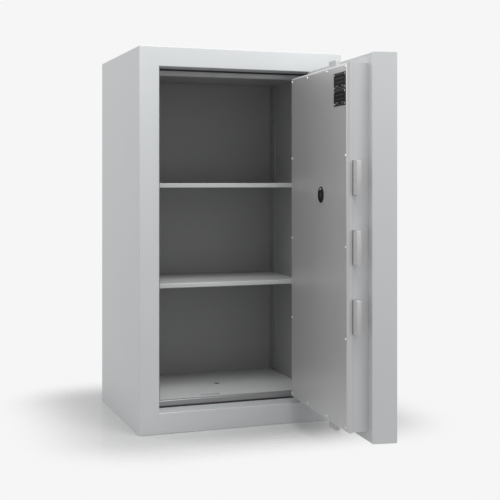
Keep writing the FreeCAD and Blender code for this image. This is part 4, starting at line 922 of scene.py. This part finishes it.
class SAFE_OT_handle(bpy.types.Operator):
    """Makes the door's lever handle, and plates its rose and the keyhole fittings"""
    bl_idname = "safe.handle"
    bl_label = "Handle"

    def execute(self, context):
        chrome = brushed(
            "handle_chrome", colours().chrome, roughness=0.14, turn=-OPEN_ANGLE, pitch=0.0006, stretch=8.0,
        )
        fittings = ["handle_rose", "keyhole_escutcheon", "keyhole_cover", "keyhole_cover_pivot"]
        give(fittings, chrome)
        soften(fittings, 0.0008, 3)
        (low, high), = islands("handle_lever")
        hub = (high.z - low.z) / 2
        centre = Vector((low.x + hub, 0, (low.z + high.z) / 2))
        reach, face = high.x - centre.x, low.y
        mesh = bmesh.new()
        stations, root, lift = 14, 0.006, 0.0065
        loops = []
        for i in range(stations + 1):
            t = i / stations
            x = -root + (reach + root) * t
            half_wide = 0.0125 - 0.0045 * math.sin(math.pi * min(1, t * 1.05)) ** 0.8 + 0.001 * t
            half_thick = 0.0062 - 0.0012 * t
            if i == stations:
                half_wide, half_thick = half_wide * 0.62, half_thick * 0.62
            elif i == stations - 1:
                x, half_wide, half_thick = reach - 0.0025, half_wide * 0.93, half_thick * 0.93
            loop = []
            for k in range(20):
                a = 2 * math.pi * k / 20
                c, s = math.cos(a), math.sin(a)
                loop.append((
                    x, lift + half_thick * math.copysign(abs(s) ** 0.7, s),
                    half_wide * math.copysign(abs(c) ** 0.75, c),
                ))
            loops.append(loop)
        stack(mesh, loops)
        deep = high.y - low.y
        boss = lathe([
            (0, 0.0), (hub * 0.62, 0.0), (hub * 0.86, 0.0012), (hub * 0.97, 0.0040), (hub, 0.0075),
            (hub, deep - 0.0015), (hub - 0.0015, deep), (0, deep),
        ], 64)
        boss.transform(REARWARD)
        mesh.from_mesh(plain_mesh("lever_boss", boss))
        where = Matrix.Translation((centre.x, face, centre.z))
        piece = new_piece("lever_handle", mesh, [chrome], LEAF @ where, 40)
        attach(piece, "handle")
        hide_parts("handle_lever")
        return {"FINISHED"}


class SAFE_OT_hinge_welds(bpy.types.Operator):
    """Lays weld beads round the hinge leaves, painted over with them"""
    bl_idname = "safe.hinge_welds"
    bl_label = "Hinge welds"

    def execute(self, context):
        measure = sizes()
        run, leaf_edge, door_face, sunk = 0.030, 0.0275, 0.0137, 0.0003
        tree = bead_tree()
        paint = painted("weld_enamel", colours().enamel, roughness=0.45)
        for body, names, turn in (
            ("cabinet", ("hinge_leaf_frame_upper", "hinge_leaf_frame_lower"), Matrix()),
            ("door", ("hinge_leaf_door_upper", "hinge_leaf_door_lower"), LEAF),
        ):
            verts, edges = [], []
            for name in names:
                if body == "cabinet":
                    low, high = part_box(name)
                    side, near = high[0], high[0] - run
                    face = high[1] - sunk
                else:
                    (low, high), = islands(name)
                    side, near = low[0], -leaf_edge
                    face = door_face
                start = len(verts)
                top, foot = high[2], low[2]
                verts += [(near, face, top), (side, face, top), (side, face, foot), (near, face, foot)]
                edges += [(start + i, start + i + 1) for i in range(3)]
            base = bpy.data.meshes.new("bead_path")
            base.from_pydata(verts, edges, [])
            mesh = baked_nodes("weld_beads_" + body, base, tree, {
                "Radius": measure.bead_radius, "Ripple": measure.bead_ripple, "Pitch": measure.bead_pitch,
                "Seed": 3 if body == "door" else 5, "Material": paint,
            })
            piece = new_piece("weld_beads_" + body, mesh, [paint], turn, 80)
            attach(piece, body)
        return {"FINISHED"}


def soft_box(name, place, aim, width, power):
    light = bpy.data.lights.new(name, "AREA")
    light.shape = "SQUARE"
    light.size = width
    light.energy = power
    box = bpy.data.objects.new(name, light)
    box.location = place
    box.rotation_euler = (Vector(aim) - Vector(place)).to_track_quat("-Z", "Y").to_euler()
    box.visible_camera = False
    bpy.context.scene.collection.objects.link(box)


class SAFE_OT_stage(bpy.types.Operator):
    """Sets the floor, the backdrop, the soft boxes and the camera"""
    bl_idname = "safe.stage"
    bl_label = "Stage"

    def execute(self, context):
        scene, studio = context.scene, context.scene.safe_studio
        scene.view_settings.view_transform = "Standard"
        world = bpy.data.worlds.new("studio")
        scene.world = world
        world.use_nodes = True
        tree = world.node_tree
        tree.nodes.clear()
        path = add(tree, "ShaderNodeLightPath").outputs["Is Camera Ray"]
        dim = add(tree, "ShaderNodeBackground", {"Color": (1, 1, 1, 1), "Strength": studio.ambient})
        seen = add(tree, "ShaderNodeBackground", {"Color": (1, 1, 1, 1), "Strength": studio.backdrop})
        both = add(tree, "ShaderNodeMixShader", {0: path, 1: dim.outputs[0], 2: seen.outputs[0]})
        add(tree, "ShaderNodeOutputWorld", {"Surface": both.outputs[0]})

        footprint = (0.36, 0.29, 0)
        mesh = bpy.data.meshes.new("studio_floor")
        mesh.from_pydata([(-3, -3, 0), (3, -3, 0), (3, 3, 0), (-3, 3, 0)], [], [(0, 1, 2, 3)])
        floor = bpy.data.objects.new("studio_floor", mesh)
        scene.collection.objects.link(floor)
        stuff = bpy.data.materials.new("studio_floor")
        stuff.use_nodes = True
        tree = stuff.node_tree
        shader = tree.nodes["Principled BSDF"]
        shader.inputs["Base Color"].default_value = rgba(colours().floor)
        shader.inputs["Roughness"].default_value = 0.12
        coords = add(tree, "ShaderNodeTexCoord").outputs["Object"]
        beyond = add(tree, "ShaderNodeVectorMath", {0: coords}, operation="ABSOLUTE").outputs[0]
        corner = add(tree, "ShaderNodeVectorMath", {0: beyond, 1: footprint}, operation="SUBTRACT").outputs[0]
        away = add(tree, "ShaderNodeVectorMath", {0: corner, 1: (0, 0, 0)}, operation="MAXIMUM").outputs[0]
        distance = add(tree, "ShaderNodeVectorMath", {0: away}, operation="LENGTH").outputs["Value"]
        near = add(tree, "ShaderNodeMapRange", {
            "Value": distance, "From Min": 0.0, "From Max": studio.floor_reach, "To Min": 0.9, "To Max": 0.0,
        }, interpolation_type="SMOOTHERSTEP").outputs[0]
        tree.links.new(near, shader.inputs["Alpha"])
        mesh.materials.append(stuff)

        soft_box("overhead", (0.0, -1.3, 3.0), (0.0, -0.6, 0.6), 1.6, studio.overhead)
        soft_box("front", (2.8, -4.2, 2.2), (0.0, 0.0, 0.7), 2.6, studio.front)
        soft_box("rear", (-3.4, 2.4, 2.2), (0.0, 0.0, 0.7), 2.6, studio.rear)

        lens = bpy.data.cameras.new("camera")
        lens.lens = 74.2
        lens.sensor_width = 36.0
        lens.shift_x = 0.0046
        lens.shift_y = -0.1396
        lens.clip_end = 200.0
        camera = bpy.data.objects.new("camera", lens)
        camera.location = (-1.188, -3.595, 0.8415)
        camera.rotation_euler = (math.radians(90), 0, math.radians(-20))
        scene.collection.objects.link(camera)
        scene.camera = camera
        return {"FINISHED"}


OPERATORS = (
    SAFE_OT_body, SAFE_OT_shelving, SAFE_OT_door, SAFE_OT_bolt_work, SAFE_OT_cover_screws, SAFE_OT_plates,
    SAFE_OT_handle, SAFE_OT_hinge_welds, SAFE_OT_stage,
)


class SAFE_PT_panel(bpy.types.Panel):
    """Lists the safe's settings and its makers"""
    bl_idname = "SAFE_PT_panel"
    bl_label = "Safe"
    bl_space_type = "VIEW_3D"
    bl_region_type = "UI"
    bl_category = "Safe"

    def draw(self, context):
        for group in (context.scene.safe_colours, context.scene.safe_sizes, context.scene.safe_studio):
            box = self.layout.box()
            for name in group.bl_rna.properties.keys():
                if name not in ("rna_type", "name"):
                    box.prop(group, name)
        for operator in OPERATORS:
            self.layout.operator(operator.bl_idname)


CLASSES = (SafeColours, SafeSizes, SafeStudio) + OPERATORS + (SAFE_PT_panel,)


def register():
    for item in CLASSES:
        bpy.utils.register_class(item)
    bpy.types.Scene.safe_colours = PointerProperty(type=SafeColours)
    bpy.types.Scene.safe_sizes = PointerProperty(type=SafeSizes)
    bpy.types.Scene.safe_studio = PointerProperty(type=SafeStudio)


def unregister():
    del bpy.types.Scene.safe_studio
    del bpy.types.Scene.safe_sizes
    del bpy.types.Scene.safe_colours
    for item in reversed(CLASSES):
        bpy.utils.unregister_class(item)


def main():
    register()
    for operator in OPERATORS:
        area, name = operator.bl_idname.split(".")
        getattr(getattr(bpy.ops, area), name)()


if __name__ == "__main__":
    main()
